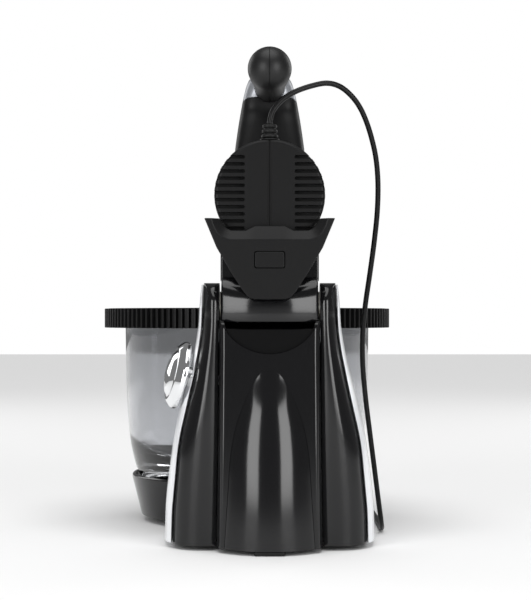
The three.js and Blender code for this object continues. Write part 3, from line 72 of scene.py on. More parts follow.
GRAIN_HEIGHT = 0.00008  # of the moulded grain, in metres
SMUDGES_PER_METRE = 22.0
SHARP_EDGE = 32.0  # edges sharper than this many degrees stay sharp in the shading

Point = tuple[float, float, float]
Pair = tuple[float, float]


class Place(Enum):
    """The local frames that pieces are drawn in."""

    STAND = (20.0, REAR_Y, 0.0)
    BOWL = (0.0, REAR_Y + BOWL_FORWARD, 0.0)

    def point(self, x: float, y: float, z: float) -> Point:
        """A local point in the row frame.

        Args:
            x, y, z: the point, in millimetres.

        Returns:
            The point in metres.
        """
        dx, dy, dz = self.value
        return ((x + dx) * MM, (y + dy) * MM, (z + dz) * MM)


# ---------------------------------------------------------------- finishes


@dataclass(frozen=True)
class Finish:
    """One surface finish, as a Principled material with a fine procedural relief."""

    name: str
    slot: str
    color: tuple[float, float, float]
    roughness: float
    metallic: float = 0.0
    specular: float = 0.5
    transmission: float = 0.0
    ior: float = 1.5
    grain_mm: float = 0.0
    grain_depth: float = 0.0
    smudge: float = 0.0

    def material(self) -> bpy.types.Material:
        """Makes the material, or returns the one already made.

        Returns:
            The Blender material.
        """
        label = self.name + "_finish"
        known = bpy.data.materials.get(label)
        if known:
            return known
        made = bpy.data.materials.new(label)
        made.use_nodes = True
        nodes, links = made.node_tree.nodes, made.node_tree.links
        shader = nodes["Principled BSDF"]
        shader.inputs["Base Color"].default_value = (*self.color, 1.0)
        shader.inputs["Roughness"].default_value = self.roughness
        shader.inputs["Metallic"].default_value = self.metallic
        shader.inputs["IOR"].default_value = self.ior
        shader.inputs["Specular IOR Level"].default_value = self.specular
        shader.inputs["Transmission Weight"].default_value = self.transmission
        if self.grain_mm or self.smudge:
            place = nodes.new("ShaderNodeTexCoord")
        if self.grain_mm:
            noise = nodes.new("ShaderNodeTexNoise")
            noise.inputs["Scale"].default_value = 1.0 / (self.grain_mm * MM)
            noise.inputs["Detail"].default_value = 3.0
            bump = nodes.new("ShaderNodeBump")
            bump.inputs["Strength"].default_value = self.grain_depth
            bump.inputs["Distance"].default_value = GRAIN_HEIGHT
            links.new(place.outputs["Object"], noise.inputs["Vector"])
            links.new(noise.outputs["Fac"], bump.inputs["Height"])
            links.new(bump.outputs["Normal"], shader.inputs["Normal"])
        if self.smudge:
            cloud = nodes.new("ShaderNodeTexNoise")
            cloud.inputs["Scale"].default_value = SMUDGES_PER_METRE
            cloud.inputs["Detail"].default_value = 2.0
            ramp = nodes.new("ShaderNodeMapRange")
            ramp.inputs["To Min"].default_value = max(0.02, self.roughness - self.smudge)
            ramp.inputs["To Max"].default_value = self.roughness + self.smudge
            links.new(place.outputs["Object"], cloud.inputs["Vector"])
            links.new(cloud.outputs["Fac"], ramp.inputs["Value"])
            links.new(ramp.outputs["Result"], shader.inputs["Roughness"])
        return made


GLOSS_BLACK = Finish(
    "gloss_black", "gloss_black", (0.004, 0.004, 0.0045), 0.13, specular=0.4, smudge=0.03
)
SATIN_BLACK = Finish(
    "satin_black", "satin_black", (0.0055, 0.0055, 0.0057), 0.42, specular=0.16, grain_mm=0.9, grain_depth=0.2
)
SOFT_BLACK = Finish(
    "soft_black", "satin_black", (0.006, 0.006, 0.0062), 0.42, specular=0.3, grain_mm=0.8, grain_depth=0.15
)
# Painted shade: the hinge well's black is darker than the other blacks, standing in for the shade in its
# recess under the barrel.
WELL_PAINTED_SHADE_BLACK = Finish("well_painted_shade", "satin_black", (0.002, 0.002, 0.0022), 0.3, specular=0.12)
WHITE = Finish("white_panel", "white_panel", (0.72, 0.73, 0.75), 0.14)
SILVER = Finish("silver_paint", "silver_paint", (0.27, 0.28, 0.3), 0.3, metallic=0.4)
CLEAR = Finish("clear_bowl", "clear_bowl", (0.66, 0.67, 0.69), 0.03, transmission=1.0, ior=1.49)
CHROME = Finish("chrome", "chrome", (0.86, 0.87, 0.88), 0.06, metallic=1.0)
STEEL = Finish("steel", "steel", (0.55, 0.56, 0.58), 0.3, metallic=1.0, smudge=0.05)
RUBBER = Finish(
    "rubber", "rubber", (0.006, 0.006, 0.006), 0.5, specular=0.2, grain_mm=0.8, grain_depth=0.2
)
CABLE = Finish(
    "cable", "rubber", (0.003, 0.003, 0.0032), 0.36, specular=0.18, grain_mm=1.2, grain_depth=0.12
)
NYLON = Finish("nylon", "nylon", (0.75, 0.72, 0.62), 0.4)
COPPER = Finish("copper", "copper", (0.45, 0.2, 0.1), 0.4, metallic=1.0)
BOARD = Finish("board", "board", (0.05, 0.2, 0.08), 0.5)
FLOOR = Finish("floor", "", (0.86, 0.86, 0.86), 0.6)
BY_SLOT = {
    f.slot: f
    for f in (GLOSS_BLACK, SATIN_BLACK, WHITE, SILVER, CLEAR, CHROME, STEEL, RUBBER, NYLON, COPPER, BOARD)
}


# ---------------------------------------------------------------- shape tools


def reading(table: Sequence[Pair], at: float) -> float:
    """Reads a smooth curve through a table.

    Args:
        table: pairs of (place, value), places rising.
        at: the place to read.

    Returns:
        The value there.
    """
    if at <= table[0][0]:
        return table[0][1]
    if at >= table[-1][0]:
        return table[-1][1]
    k = next(i for i in range(1, len(table)) if table[i][0] > at)

    def slope(i: int) -> float:
        a, b = table[max(0, i - 1)], table[min(len(table) - 1, i + 1)]
        return (b[1] - a[1]) / (b[0] - a[0])

    (p, vp), (q, vq) = table[k - 1], table[k]
    w = q - p
    t = (at - p) / w
    m0, m1 = slope(k - 1) * w, slope(k) * w
    return (
        (2 * t**3 - 3 * t**2 + 1) * vp
        + (t**3 - 2 * t**2 + t) * m0
        + (3 * t**2 - 2 * t**3) * vq
        + (t**3 - t**2) * m1
    )


def steps(low: float, high: float, count: int) -> list[float]:
    """Evenly spaced values, both ends among them.

    Args:
        low, high: the ends.
        count: how many values.

    Returns:
        The values.
    """
    return [low + (high - low) * i / (count - 1) for i in range(count)]


def rounded(corners: Sequence[tuple[float, float, float]], parts: int = 6) -> list[Pair]:
    """A closed outline with rounded corners.

    Args:
        corners: (x, y, radius) of each corner, in order.
        parts: segments in each rounded corner.

    Returns:
        The outline's points.
    """
    out: list[Pair] = []
    n = len(corners)
    for i, (x, y, r) in enumerate(corners):
        here = Vector((x, y))
        if r <= 0:
            out.append((x, y))
            continue
        before = (Vector(corners[i - 1][:2]) - here).normalized()
        after = (Vector(corners[(i + 1) % n][:2]) - here).normalized()
        angle = before.angle(after)
        reach = r / math.tan(angle / 2)
        a, b = here + before * reach, here + after * reach
        for t in steps(0, 1, parts + 1):
            p = a * (1 - t) ** 2 + here * 2 * t * (1 - t) + b * t**2
            out.append((p.x, p.y))
    return out


class Shape:
    """A mesh being made, in millimetres in a local frame."""

    def __init__(self) -> None:
        self.bm = bmesh.new()

    def ring(self, points: Sequence[Point], closed: bool = True) -> list[bmesh.types.BMEdge]:
        """Adds a loop of edges.

        Args:
            points: its points, in order.
            closed: joins the last to the first.

        Returns:
            The edges.
        """
        verts = [self.bm.verts.new(p) for p in points]
        pairs = list(zip(verts, verts[1:])) + ([(verts[-1], verts[0])] if closed else [])
        return [self.bm.edges.new(p) for p in pairs]

    def loft(
        self, rings: Sequence[Sequence[Point]], caps: bool = True, closed: bool = True, folded: bool = False
    ) -> "Shape":
        """Skins a row of loops with equal counts.

        Args:
            rings: the loops' points.
            caps: fills the first and last loop.
            closed: each loop is closed.
            folded: each loop goes out along a wall and back along its inside, so its ends are strips.

        Returns:
            The shape itself.
        """
        made = [self.ring(r, closed) for r in rings]
        for a, b in zip(made, made[1:]):
            bmesh.ops.bridge_loops(self.bm, edges=a + b)
        if folded:
            for end in (made[0], made[-1]):
                half = len(end) // 2
                ahead, inside = end[: half - 1], end[half:-1]
                bmesh.ops.bridge_loops(self.bm, edges=ahead + inside)
        elif caps:
            for end in (made[0], made[-1]):
                bmesh.ops.contextual_create(self.bm, geom=end)
        return self

    def spin(
        self, profile: Sequence[Pair], count: int = 64, axis: str = "Z", at: Point = (0, 0, 0)
    ) -> "Shape":
        """Turns a closed profile of (radius, height) round an axis.

        Args:
            profile: its points; points on the axis have radius 0.
            count: segments in the full turn.
            axis: X, Y or Z.
            at: where the axis passes.

        Returns:
            The shape itself.
        """
        part = bmesh.new()
        on_axis = profile[0][0] < 1e-9 and profile[-1][0] < 1e-9
        verts = [part.verts.new((r, 0, h)) for r, h in profile]
        pairs = list(zip(verts, verts[1:])) + ([] if on_axis else [(verts[-1], verts[0])])
        edges = [part.edges.new(p) for p in pairs]
        bmesh.ops.spin(
            part,
            geom=verts + edges,
            cent=(0, 0, 0),
            axis=(0, 0, 1),
            angle=2 * math.pi,
            steps=count,
            use_merge=True,
        )
        bmesh.ops.remove_doubles(part, verts=part.verts, dist=1e-4)
        turn = {
            "Z": Matrix.Identity(4),
            "X": Matrix.Rotation(math.pi / 2, 4, "Y"),
            "Y": Matrix.Rotation(-math.pi / 2, 4, "X"),
        }[axis]
        bmesh.ops.transform(part, matrix=Matrix.Translation(at) @ turn, verts=part.verts)
        return self.take(part)

    def rod(
        self, r: float, low: float, high: float, count: int = 40, axis: str = "Z", at: Point = (0, 0, 0)
    ) -> "Shape":
        """Adds a plain rod.

        Args:
            r: its radius.
            low, high: its ends along the axis.
            count: segments in the full turn.
            axis: X, Y or Z.
            at: where the axis passes.

        Returns:
            The shape itself.
        """
        return self.spin([(0, low), (r, low), (r, high), (0, high)], count, axis, at)

    def prism(self, outline: Sequence[Pair], low: float, high: float, axis: str = "Z") -> "Shape":
        """Draws a flat outline out along an axis.

        Args:
            outline: (x, y) for Z, (x, z) for Y and (y, z) for X.
            low, high: where it starts and ends.
            axis: X, Y or Z.

        Returns:
            The shape itself.
        """
        place = {
            "Z": lambda a, b, c: (a, b, c),
            "Y": lambda a, b, c: (a, c, b),
            "X": lambda a, b, c: (c, a, b),
        }[axis]
        return self.loft([[place(a, b, c) for a, b in outline] for c in (low, high)])

    def box(self, low: Point, high: Point) -> "Shape":
        """Adds a box.

        Args:
            low, high: its opposite corners.

        Returns:
            The shape itself.
        """
        part = bmesh.new()
        bmesh.ops.create_cube(part, size=1.0)
        size = [b - a for a, b in zip(low, high)]
        middle = [(a + b) / 2 for a, b in zip(low, high)]
        bmesh.ops.scale(part, vec=size, verts=part.verts)
        bmesh.ops.translate(part, vec=middle, verts=part.verts)
        return self.take(part)

    def sweep(self, path: Sequence[Point], section: Sequence[Pair], up: Point = (0, 0, 1)) -> "Shape":
        """Carries a section along a path without twisting it.

        Args:
            path: the path's points.
            section: the section's (side, up) points.
            up: the section's up direction at the start.

        Returns:
            The shape itself.
        """
        points = [Vector(p) for p in path]
        rings = []
        normal = Vector(up)
        for i, p in enumerate(points):
            ahead = points[min(i + 1, len(points) - 1)] - points[max(i - 1, 0)]
            ahead.normalize()
            normal = (normal - ahead * normal.dot(ahead)).normalized()
            side = ahead.cross(normal)
            rings.append([tuple(p + side * a + normal * b) for a, b in section])
        return self.loft(rings)

    def take(self, part: bmesh.types.BMesh) -> "Shape":
        """Moves another mesh into this one.

        Args:
            part: the other mesh, freed afterwards.

        Returns:
            The shape itself.
        """
        mesh = bpy.data.meshes.new("part")
        part.to_mesh(mesh)
        part.free()
        self.bm.from_mesh(mesh)
        bpy.data.meshes.remove(mesh)
        return self

    def add(self, other: "Shape") -> "Shape":
        """Joins another shape to this one, as a separate island.

        Args:
            other: the other shape, used up.

        Returns:
            The shape itself.
        """
        return self.take(other.bm)

    def bevel(self, width: float, segments: int = 3, over: float = ROUNDED_EDGE) -> "Shape":
        """Rounds the edges that are sharper than an angle.

        Args:
            width: the bevel's width.
            segments: its segments.
            over: the least angle between the faces, in degrees.

        Returns:
            The shape itself.
        """
        bmesh.ops.recalc_face_normals(self.bm, faces=self.bm.faces)
        sharp = [
            e
            for e in self.bm.edges
            if len(e.link_faces) == 2 and e.calc_face_angle(0) > math.radians(over)
        ]
        bmesh.ops.bevel(
            self.bm,
            geom=sharp,
            offset=width,
            offset_type="OFFSET",
            affect="EDGES",
            segments=segments,
            profile=0.5,
            material=-1,
            clamp_overlap=True,
        )
        return self

    def mirrored(self) -> "Shape":
        """Mirrors the shape across X.

        Returns:
            The shape itself.
        """
        bmesh.ops.scale(self.bm, vec=(-1, 1, 1), verts=self.bm.verts)
        bmesh.ops.reverse_faces(self.bm, faces=self.bm.faces)
        return self

    def copy(self) -> "Shape":
        """Copies the shape.

        Returns:
            A new shape.
        """
        other = Shape()
        other.bm.free()
        other.bm = self.bm.copy()
        return other

    def _object(self, name: str) -> bpy.types.Object:
        """Turns the shape into a scratch object, and uses the shape up.

        Args:
            name: the object's name.

        Returns:
            The object.
        """
        bmesh.ops.recalc_face_normals(self.bm, faces=self.bm.faces)
        mesh = bpy.data.meshes.new(name)
        self.bm.to_mesh(mesh)
        self.bm.free()
        made = bpy.data.objects.new(name, mesh)
        bpy.context.scene.collection.objects.link(made)
        return made

    def boolean(self, other: "Shape", operation: str) -> "Shape":
        """Cuts, joins or meets this shape with another.

        Args:
            other: the other shape, used up.
            operation: DIFFERENCE, UNION or INTERSECT.

        Returns:
            The shape itself.
        """
        body, tool = self._object("body"), other._object("tool")
        modifier = body.modifiers.new("cut", "BOOLEAN")
        modifier.object = tool
        modifier.operation = operation
        modifier.solver = "EXACT"
        bpy.context.view_layer.update()
        result = body.evaluated_get(bpy.context.evaluated_depsgraph_get()).to_mesh()
        self.bm = bmesh.new()
        self.bm.from_mesh(result)
        bpy.data.objects.remove(body)
        bpy.data.objects.remove(tool)
        return self

    def cut(self, other: "Shape") -> "Shape":
        """Cuts another shape out of this one.

        Args:
            other: the other shape, used up.

        Returns:
            The shape itself.
        """
        return self.boolean(other, "DIFFERENCE")

    def piece(
        self,
        name: str,
        finish: Finish,
        body: str,
        replaces: Sequence[str] = (),
        place: Place = Place.STAND,
        smooth_over: float = SHARP_EDGE,
        weighted: bool = True,
    ) -> bpy.types.Object:
        """Turns the shape into a finished piece in the row frame.

        Args:
            name: the piece's name.
            finish: its finish.
            body: the CAD body it rides on, or nothing for a bent piece.
            replaces: the CAD nodes it stands for.
            place: the local frame it was drawn in.
            smooth_over: edges sharper than this stay sharp, in degrees.
            weighted: weights the normals by face area.

        Returns:
            The Blender object.
        """
        bmesh.ops.recalc_face_normals(self.bm, faces=self.bm.faces)
        move = Matrix.Translation(Vector(place.value) * MM) @ Matrix.Scale(MM, 4)
        bmesh.ops.transform(self.bm, matrix=move, verts=self.bm.verts)
        for face in self.bm.faces:
            face.smooth = True
        for edge in self.bm.edges:
            if len(edge.link_faces) == 2:
                edge.smooth = edge.calc_face_angle(0) < math.radians(smooth_over)
        mesh = bpy.data.meshes.new(name)
        self.bm.to_mesh(mesh)
        self.bm.free()
        made = bpy.data.objects.new(name, mesh)
        bpy.context.scene.collection.objects.link(made)
        mesh.materials.append(finish.material())
        if weighted:
            normals = made.modifiers.new("normals", "WEIGHTED_NORMAL")
            normals.keep_sharp = True
        if body:
            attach(made, body)
        if replaces:
            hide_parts(*replaces)
        LOG.info("%s: %d faces", name, len(mesh.polygons))
        return made


def circle(radius: float, count: int) -> list[Pair]:
    """A circle's points.

    Args:
        radius: its radius.
        count: how many points.

    Returns:
        The points.
    """
    return [
        (radius * math.cos(2 * math.pi * i / count), radius * math.sin(2 * math.pi * i / count))
        for i in range(count)
    ]


# ---------------------------------------------------------------- cord


@dataclass
class PowerCord:
    """The mains lead: its route, its coil, its strain relief and its plug."""

    diameter: float = 4.2
    exit: Point = (0.0, 30.0, 323.4)
    coil_at: Pair = (48.5, 386.0)
    coil_outer: float = 25.2
    coil_inner: float = 21.0
    plug_tail: Pair = (18.2, 396.8)
    plug_turn: float = -58.0
    plug_z: float = 6.8
    route: list[Point] = field(
        default_factory=lambda: [
            (0, 30, 323.7),
            (0.6, 30, 328),
            (2.4, 30.2, 333.5),
            (8.4, 31, 341),
            (17.5, 32.5, 347.4),
            (31, 36, 353),
            (44.5, 40, 355.9),
            (54.5, 44, 353.6),
            (64, 48, 346.2),
            (70.4, 51.5, 337.6),
            (75.2, 55, 327.5),
            (79, 58.5, 316.5),
            (82.6, 62.5, 302),
            (84.6, 67, 284),
            (84.6, 72, 262),
            (82.6, 77, 238),
            (79.4, 82, 212),
            (76, 88, 186),
            (74.2, 93, 162),
            (74.6, 97, 138),
            (77, 100, 112),
            (80.6, 103, 84),
            (84.4, 107, 56),
            (88, 113, 30),
            (91, 123, 11),
            (92.6, 137, 3.2),
            (93, 156, 2.3),
            (93, 190, 2.3),
            (92.4, 226, 2.3),
            (91.6, 262, 2.3),
            (88, 300, 2.3),
            (82, 334, 2.3),
            (77.4, 358, 2.3),
            (75, 371, 2.3),
        ]
    )

    def coil(self) -> list[Point]:
        """The coil's turns and the way into the plug.

        Returns:
            Points from the coil's start to the plug's tail.
        """
        rises = [(0.0, 0.0), (1.6, 0.0), (1.8, 4.2), (3.4, 4.2)]
        sizes = [
            (0.0, self.coil_outer),
            (0.8, self.coil_outer),
            (1.0, self.coil_inner),
            (2.4, self.coil_inner),
            (2.6, self.coil_outer),
            (3.4, self.coil_outer),
        ]

        def straight(table: Sequence[Pair], at: float) -> float:
            for (a, va), (b, vb) in zip(table, table[1:]):
                if at <= b:
                    t = (at - a) / (b - a)
                    return va + (vb - va) * t * t * (3 - 2 * t)
            return table[-1][1]

        out = []
        last = 3 + 122 / 360
        for n in steps(0.03, last, 81):
            r, rise = straight(sizes, n), straight(rises, n)
            a = 2 * math.pi * n
            x, y = self.coil_at
            out.append((x + r * math.cos(a), y + r * math.sin(a), 2.3 + rise))
        end = Vector((*self.plug_tail, self.plug_z))
        start = Vector(out[-1])
        for t in (0.35, 0.7, 1.0):
            out.append(tuple(start.lerp(end, t)))
        return out

    def path(self) -> list[Point]:
        """The whole centreline as close points on a smooth curve.

        Returns:
            Points about 2 mm apart.
        """
        knots = [Vector(p) for p in self.route + self.coil()]
        knots = [knots[0] * 2 - knots[1]] + knots + [knots[-1] * 2 - knots[-2]]
        out: list[Point] = []
        for a, b, c, d in zip(knots, knots[1:], knots[2:], knots[3:]):
            t0, t1 = 0.0, (b - a).length ** 0.5
            t2 = t1 + (c - b).length ** 0.5
            t3 = t2 + (d - c).length ** 0.5
            count = max(2, round((c - b).length / 2.2))
            for i in range(count):
                t = t1 + (t2 - t1) * i / count
                p = a * ((t1 - t) / (t1 - t0)) + b * ((t - t0) / (t1 - t0))
                q = b * ((t2 - t) / (t2 - t1)) + c * ((t - t1) / (t2 - t1))
                r = c * ((t3 - t) / (t3 - t2)) + d * ((t - t2) / (t3 - t2))
                s = p * ((t2 - t) / (t2 - t0)) + q * ((t - t0) / (t2 - t0))
                u = q * ((t3 - t) / (t3 - t1)) + r * ((t - t1) / (t3 - t1))
                out.append(tuple(s * ((t2 - t) / (t2 - t1)) + u * ((t - t1) / (t2 - t1))))
        out.append(tuple(knots[-2]))
        return out

    def relief(self) -> None:
        """Makes the ribbed strain relief on the housing's top."""
        profile = [(0, 301), (3.6, 301), (5.1, 304), (5.1, 310.6), (7.4, 311.2), (7.4, 312)]
        for low, high, r in ((312.6, 315.4, 6.4), (316.4, 319.2, 6.0), (320.2, 323.0, 5.6)):
            profile += [(4.3, low - 0.2), (r - 0.8, low), (r, low + 0.8), (r, high - 0.8), (r - 0.8, high)]
            profile += [(4.3, high + 0.2)]
        profile += [(3.4, 323.3), (0, 323.4)]
        shape = Shape().spin(profile, 40, at=(self.exit[0], self.exit[1], 0)).bevel(0.18, 2, 40)
        shape.piece("cord_strain_relief_fine", RUBBER, "head", ["cord_strain_relief"])

    def plug(self) -> bpy.types.Object:
        """Makes the plug with its two pins.

        Returns:
            The plug's body.
        """
        turn = Matrix.Translation((*self.plug_tail, 0)) @ Matrix.Rotation(
            math.radians(self.plug_turn), 4, "Z"
        )
        outline = rounded(
            [
                (-6.8, -35, 1.5),
                (6.8, -35, 1.5),
                (6.8, -11, 5),
                (3.4, -0.2, 1),
                (-3.4, -0.2, 1),
                (-6.8, -11, 5),
            ]
        )
        shape = Shape().prism(outline, 0.3, 13.3).bevel(2.2, 4, 60)
        bmesh.ops.transform(shape.bm, matrix=turn, verts=shape.bm.verts)
        body = shape.piece("plug_fine", RUBBER, "base", ["plug"])
        pins = Shape()
        for side in (-1, 1):
            profile = [(0, -53.8), (1.5, -53.8), (2, -52.6), (2, -34.8), (0, -34.8)]
            pins.spin(profile, 24, "Y", (side * 4.6, 0, self.plug_z))
        bmesh.ops.transform(pins.bm, matrix=turn, verts=pins.bm.verts)
        pins.piece("plug_pins", STEEL, "base")
        return body

    def build(self) -> None:
        """Makes the cord and what is on it."""
        path = self.path()
        shape = Shape().sweep(path, circle(self.diameter / 2, 14), (0, 1, 0))
        tube = shape.piece(
            "power_cord_fine", CABLE, "", ["power_cord", "cord_coil"], weighted=False
        )
        plug = self.plug()
        self.relief()
        metres = [Place.STAND.point(*p) for p in path]
        Place.STAND.point(*self.exit)
        Place.STAND.point(40, 60, 350)
        Place.STAND.point(92, 110, 30)
        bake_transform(tube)


# ---------------------------------------------------------------- bowl


@dataclass
class Bowl:
    """The clear bowl and its toothed rim."""

    top_r: float = 107.4
    wall: float = 2.6
    top_z: float = 181.0
    rim_root_r: float = 122.2
    rim_r: float = RIM_R
    rim_low: float = 167.7
    rim_top: float = 184.5
    teeth: int = 132

    def side(self) -> list[Pair]:
        """The bowl's outer radius at each height.

        Returns:
            Pairs of (height, radius).
        """
        return [
            (24, 80),
            (30, 87.5),
            (37, 93.5),
            (45, 97.4),
            (54, 99.9),
            (66, 102.6),
            (86, 104.7),
            (112, 106.3),
            (self.top_z, self.top_r),
        ]

    def vessel(self) -> None:
        """Makes the bowl."""
        table = self.side()
        outer = [(reading(table, z), z) for z in [24, 26, 28, 30, 33, 37, 41, 45, 50, 54, 60, 66, 76, 86]]
        outer += [(reading(table, z), z) for z in [99, 112, 135, 158, self.top_z]]
        inner = [(r - self.wall, z) for r, z in reversed(outer) if z > 60]
        inner += [(95.4, 60), (91.6, 54), (86, 49), (78, 45), (68, 42.6), (58, 42), (0, 42)]
        under = [(0, 39), (62, 39), (70, 37.5), (75, 33), (77, 28), (77.4, 24)]
        Shape().spin(under + outer + inner, 128).bevel(0.6, 2, 50).piece(
            "bowl_fine", CLEAR, "bowl", ["bowl"], Place.BOWL
        )

    def rim(self) -> None:
        """Makes the toothed ring: a ring with a chamfered rib for each tooth."""
        r, low, top = self.rim_root_r, self.rim_low, self.rim_top
        seat = self.top_r + 0.35
        profile = [
            (seat, low),
            (r, low),
            (r, top - 0.6),
            (r - 0.6, top),
            (104.3, top),
            (103.5, top - 0.8),
            (103.5, self.top_z + 0.35),
            (seat, self.top_z + 0.35),
        ]
        ring = Shape().spin(profile, self.teeth * 2)
        step = 2 * math.pi / self.teeth
        half_root, half_tip = 1.55, 0.95
        tooth = Shape().prism(
            [(r - 0.6, -half_root), (self.rim_r, -half_tip), (self.rim_r, half_tip), (r - 0.6, half_root)],
            low,
            top - 0.2,
        )
        tooth.bevel(0.45, 2, 30)
        for k in range(self.teeth):
            copied = tooth.copy()
            turn = Matrix.Rotation(k * step, 4, "Z")
            bmesh.ops.transform(copied.bm, matrix=turn, verts=copied.bm.verts)
            ring.add(copied)
        tooth.bm.free()
        ring.piece("bowl_rim_fine", SATIN_BLACK, "bowl", ["bowl_toothed_rim"], Place.BOWL)


# ---------------------------------------------------------------- base


@dataclass
class Base:
    """The base slab, the holder dish and the rear foot."""

    dish_x: float = -20.0
    dish_y: float = BOWL_FORWARD
    top_r: float = 101.2
    top_z: float = 39.3
    low_r: float = 93.0
    low_z: float = 4.5
    floor_z: float = 13.0
    bridge_top: float = 26.0

    def build(self) -> None:
        """Makes the visible base pieces."""
        dish = Shape().spin(
            [
                (0, self.floor_z - 3),
                (self.low_r - 4, self.floor_z - 3),
                (self.low_r - 3, self.low_z),
                (self.low_r, self.low_z),
                (self.low_r + 1.6, self.low_z + 6.5),
                (self.top_r, self.top_z - 2.6),
                (self.top_r, self.top_z),
                (self.top_r - 1.6, self.top_z + 1.4),
                (self.top_r - 2.8, self.top_z + 0.6),
                (self.low_r - 2, self.floor_z + 3),
                (self.low_r - 6, self.floor_z),
                (0, self.floor_z),
            ],
            128,
            at=(self.dish_x, self.dish_y, 0),
        )
        dish.bevel(0.5, 2, 25)
        bridge = Shape().prism(
            rounded([(-60, 44, 8), (60, 44, 8), (56, 171, 2), (-60, 171, 2)]), self.low_z, self.bridge_top
        )
        bridge.bevel(1.6, 3, 50)
        bowl_room = Shape().spin(
            [(0, 10), (self.low_r + 1, 10), (self.top_r - 1, 60), (0, 60)],
            96,
            at=(self.dish_x, self.dish_y, 0),
        )
        bridge.cut(bowl_room)
        dish.add(bridge)
        dish.piece("base_fine", GLOSS_BLACK, "base", ["base_housing"])
        tab = rounded([(-11.6, 1.2, 2.5), (11.6, 1.2, 2.5), (11.6, 15, 1), (-11.6, 15, 1)])
        foot = Shape().prism(tab, 0, 2.65)
        foot.bevel(0.5, 2, 50)
        foot.piece("foot_rear_fine", RUBBER, "base", ["foot_rear"])


# ---------------------------------------------------------------- column


@dataclass
class Column:
    """The stand's column: side shells with their ears, white panels and the rear cover."""

    hinge_y: float = HINGE_Y
    hinge_z: float = HINGE_Z
    ear_r: float = 17.6
    ear_in: float = 38.4
    cover_half: float = 40.5
    wall: float = 2.6
    low_z: float = 3.0
    bulge_top: float = 137.6
    bulge_high: float = 15.2
    arch_z: float = HINGE_Z + 4
    arch_r: float = 40.5
    BULGE: ClassVar[list[Pair]] = [
        (3, 34.2),
        (48.5, 31.4),
        (70, 30),
        (84, 27.9),
        (95.6, 25.4),
        (108.5, 20.8),
        (121, 15.8),
        (130, 10.6),
        (135, 6.2),
        (137.6, 0.4),
    ]

    def cover_back(self, z: float) -> float:
        """The rear cover's flat face.

        Args:
            z: the height.

        Returns:
            Its y.
        """
        return 15.5 + 7.5 * z / 173

    def shell_half(self, z: float) -> float:
        """Half the width over the black shells.

        Args:
            z: the height.

        Returns:
            The half-width.
        """
        table = [
            (3, 75),
            (28, 74.3),
            (42, 73.1),
            (58, 71.6),
            (73, 70.2),
            (87.5, 67.9),
            (104, 64.2),
            (120, 60.6),
            (138, 56.9),
            (154.5, 53.7),
            (171, 51.7),
            (204, 50.4),
        ]
        return reading(table, z)

    def panel_half(self, z: float) -> float:
        """Half the width over the white panels.

        Args:
            z: the height.

        Returns:
            The half-width.
        """
        table = [
            (3, 82.8),
            (28, 82),
            (42, 80.9),
            (58, 79),
            (73, 76.8),
            (87.5, 74.5),
            (104, 70.9),
            (120, 67.1),
            (138, 61.9),
            (154.5, 58.1),
            (171, 55.2),
            (184, 54.1),
            (204, 52),
        ]
        return reading(table, z)

    def back(self, z: float) -> float:
        """The shells' rear face.

        Args:
            z: the height.

        Returns:
            Its y.
        """
        if z > self.hinge_z:
            return self.hinge_y - math.sqrt(max(0.5, self.ear_r**2 - (z - self.hinge_z) ** 2))
        return 29.6 - 2.2 * z / self.hinge_z

    def front(self, z: float) -> float:
        """The shells' front face.

        Args:
            z: the height.

        Returns:
            Its y.
        """
        if z > 183:
            return self.hinge_y + math.sqrt(max(0.5, self.ear_r**2 - (z - self.hinge_z) ** 2))
        table = [
            (3, 128),
            (26, 126),
            (60, 120),
            (100, 113),
            (130, 106.5),
            (148, 98),
            (160, 88),
            (172, 74),
            (183, self.hinge_y + 17.4),
        ]
        return reading(table, z)

    def joint(self, z: float) -> float:
        """Half the rear cover's width.

        Args:
            z: the height.

        Returns:
            The joint line's x.
        """
        return self.cover_half - 2.4 * min(1.0, z / 175)

    def section(self, z: float, inset: float, inner_x: float) -> list[Point]:
        """A side shell's section at a height, on the +X side.

        Its rear face is a rounded lobe: a short slope up from the joint, a crest, and a long turn to
        the side.

        Args:
            z: the height.
            inset: how far inside the outer surface.
            inner_x: where the section's straight inner side lies.

        Returns:
            The section's points.
        """
        half = self.shell_half(z) - inset
        back, front = self.back(z) + inset, self.front(z) - inset
        depth = front - back
        joint = self.joint(z)
        crest = joint + (half - joint) * 0.33
        valley = 2.1 * min(1.0, depth / 40)
        out: list[Point] = [(inner_x, back + valley, z)]
        slope_from = max(inner_x + 0.01, joint)
        for t in steps(0, 1, 7):
            x = slope_from + (crest - slope_from) * t
            out.append((x, back + valley * (1 - t) ** 1.7, z))
        turn = min(20.0, 0.46 * depth)
        for t in steps(0, math.pi / 2, 15)[1:]:
            out.append((crest + (half - crest) * math.sin(t), back + turn * (1 - math.cos(t)), z))
        nose = min(10.0, 0.3 * depth)
        out.append((half, back + depth * 0.5, z))
        out.append((half - 0.4, front - nose, z))
        bend = min(6.0, 0.4 * (half - inner_x))
        for t in steps(0, math.pi / 2, 6)[1:]:
            out.append((half - 0.4 - bend * (1 - math.cos(t)), front - nose * (1 - math.sin(t)), z))
        out.append((inner_x + 0.3 * (half - inner_x), front, z))
        out.append((inner_x, front - 0.3, z))
        return out

    def shell(self) -> Shape:
        """The right side shell with its ear.

        Returns:
            The hollow shell.
        """
        heights = steps(self.low_z, 160, 40) + steps(163, 184, 8) + [
            self.hinge_z + self.ear_r * math.sin(a) for a in steps(0.12, 1.5, 12)
        ]
        rings = [self.section(z, 0, max(self.ear_in, self.joint(z) + 0.4)) for z in heights]
        outer = Shape().loft(rings).bevel(0.8, 2, 55)
        inner_rings = [self.section(z, self.wall, 30) for z in steps(self.low_z - 2, 154, 20)]
        outer.cut(Shape().loft(inner_rings))
        hole = Shape().rod(PIN_HOLE_R, 30, 47, 32, "X", (0, self.hinge_y, self.hinge_z))
        return outer.cut(hole)

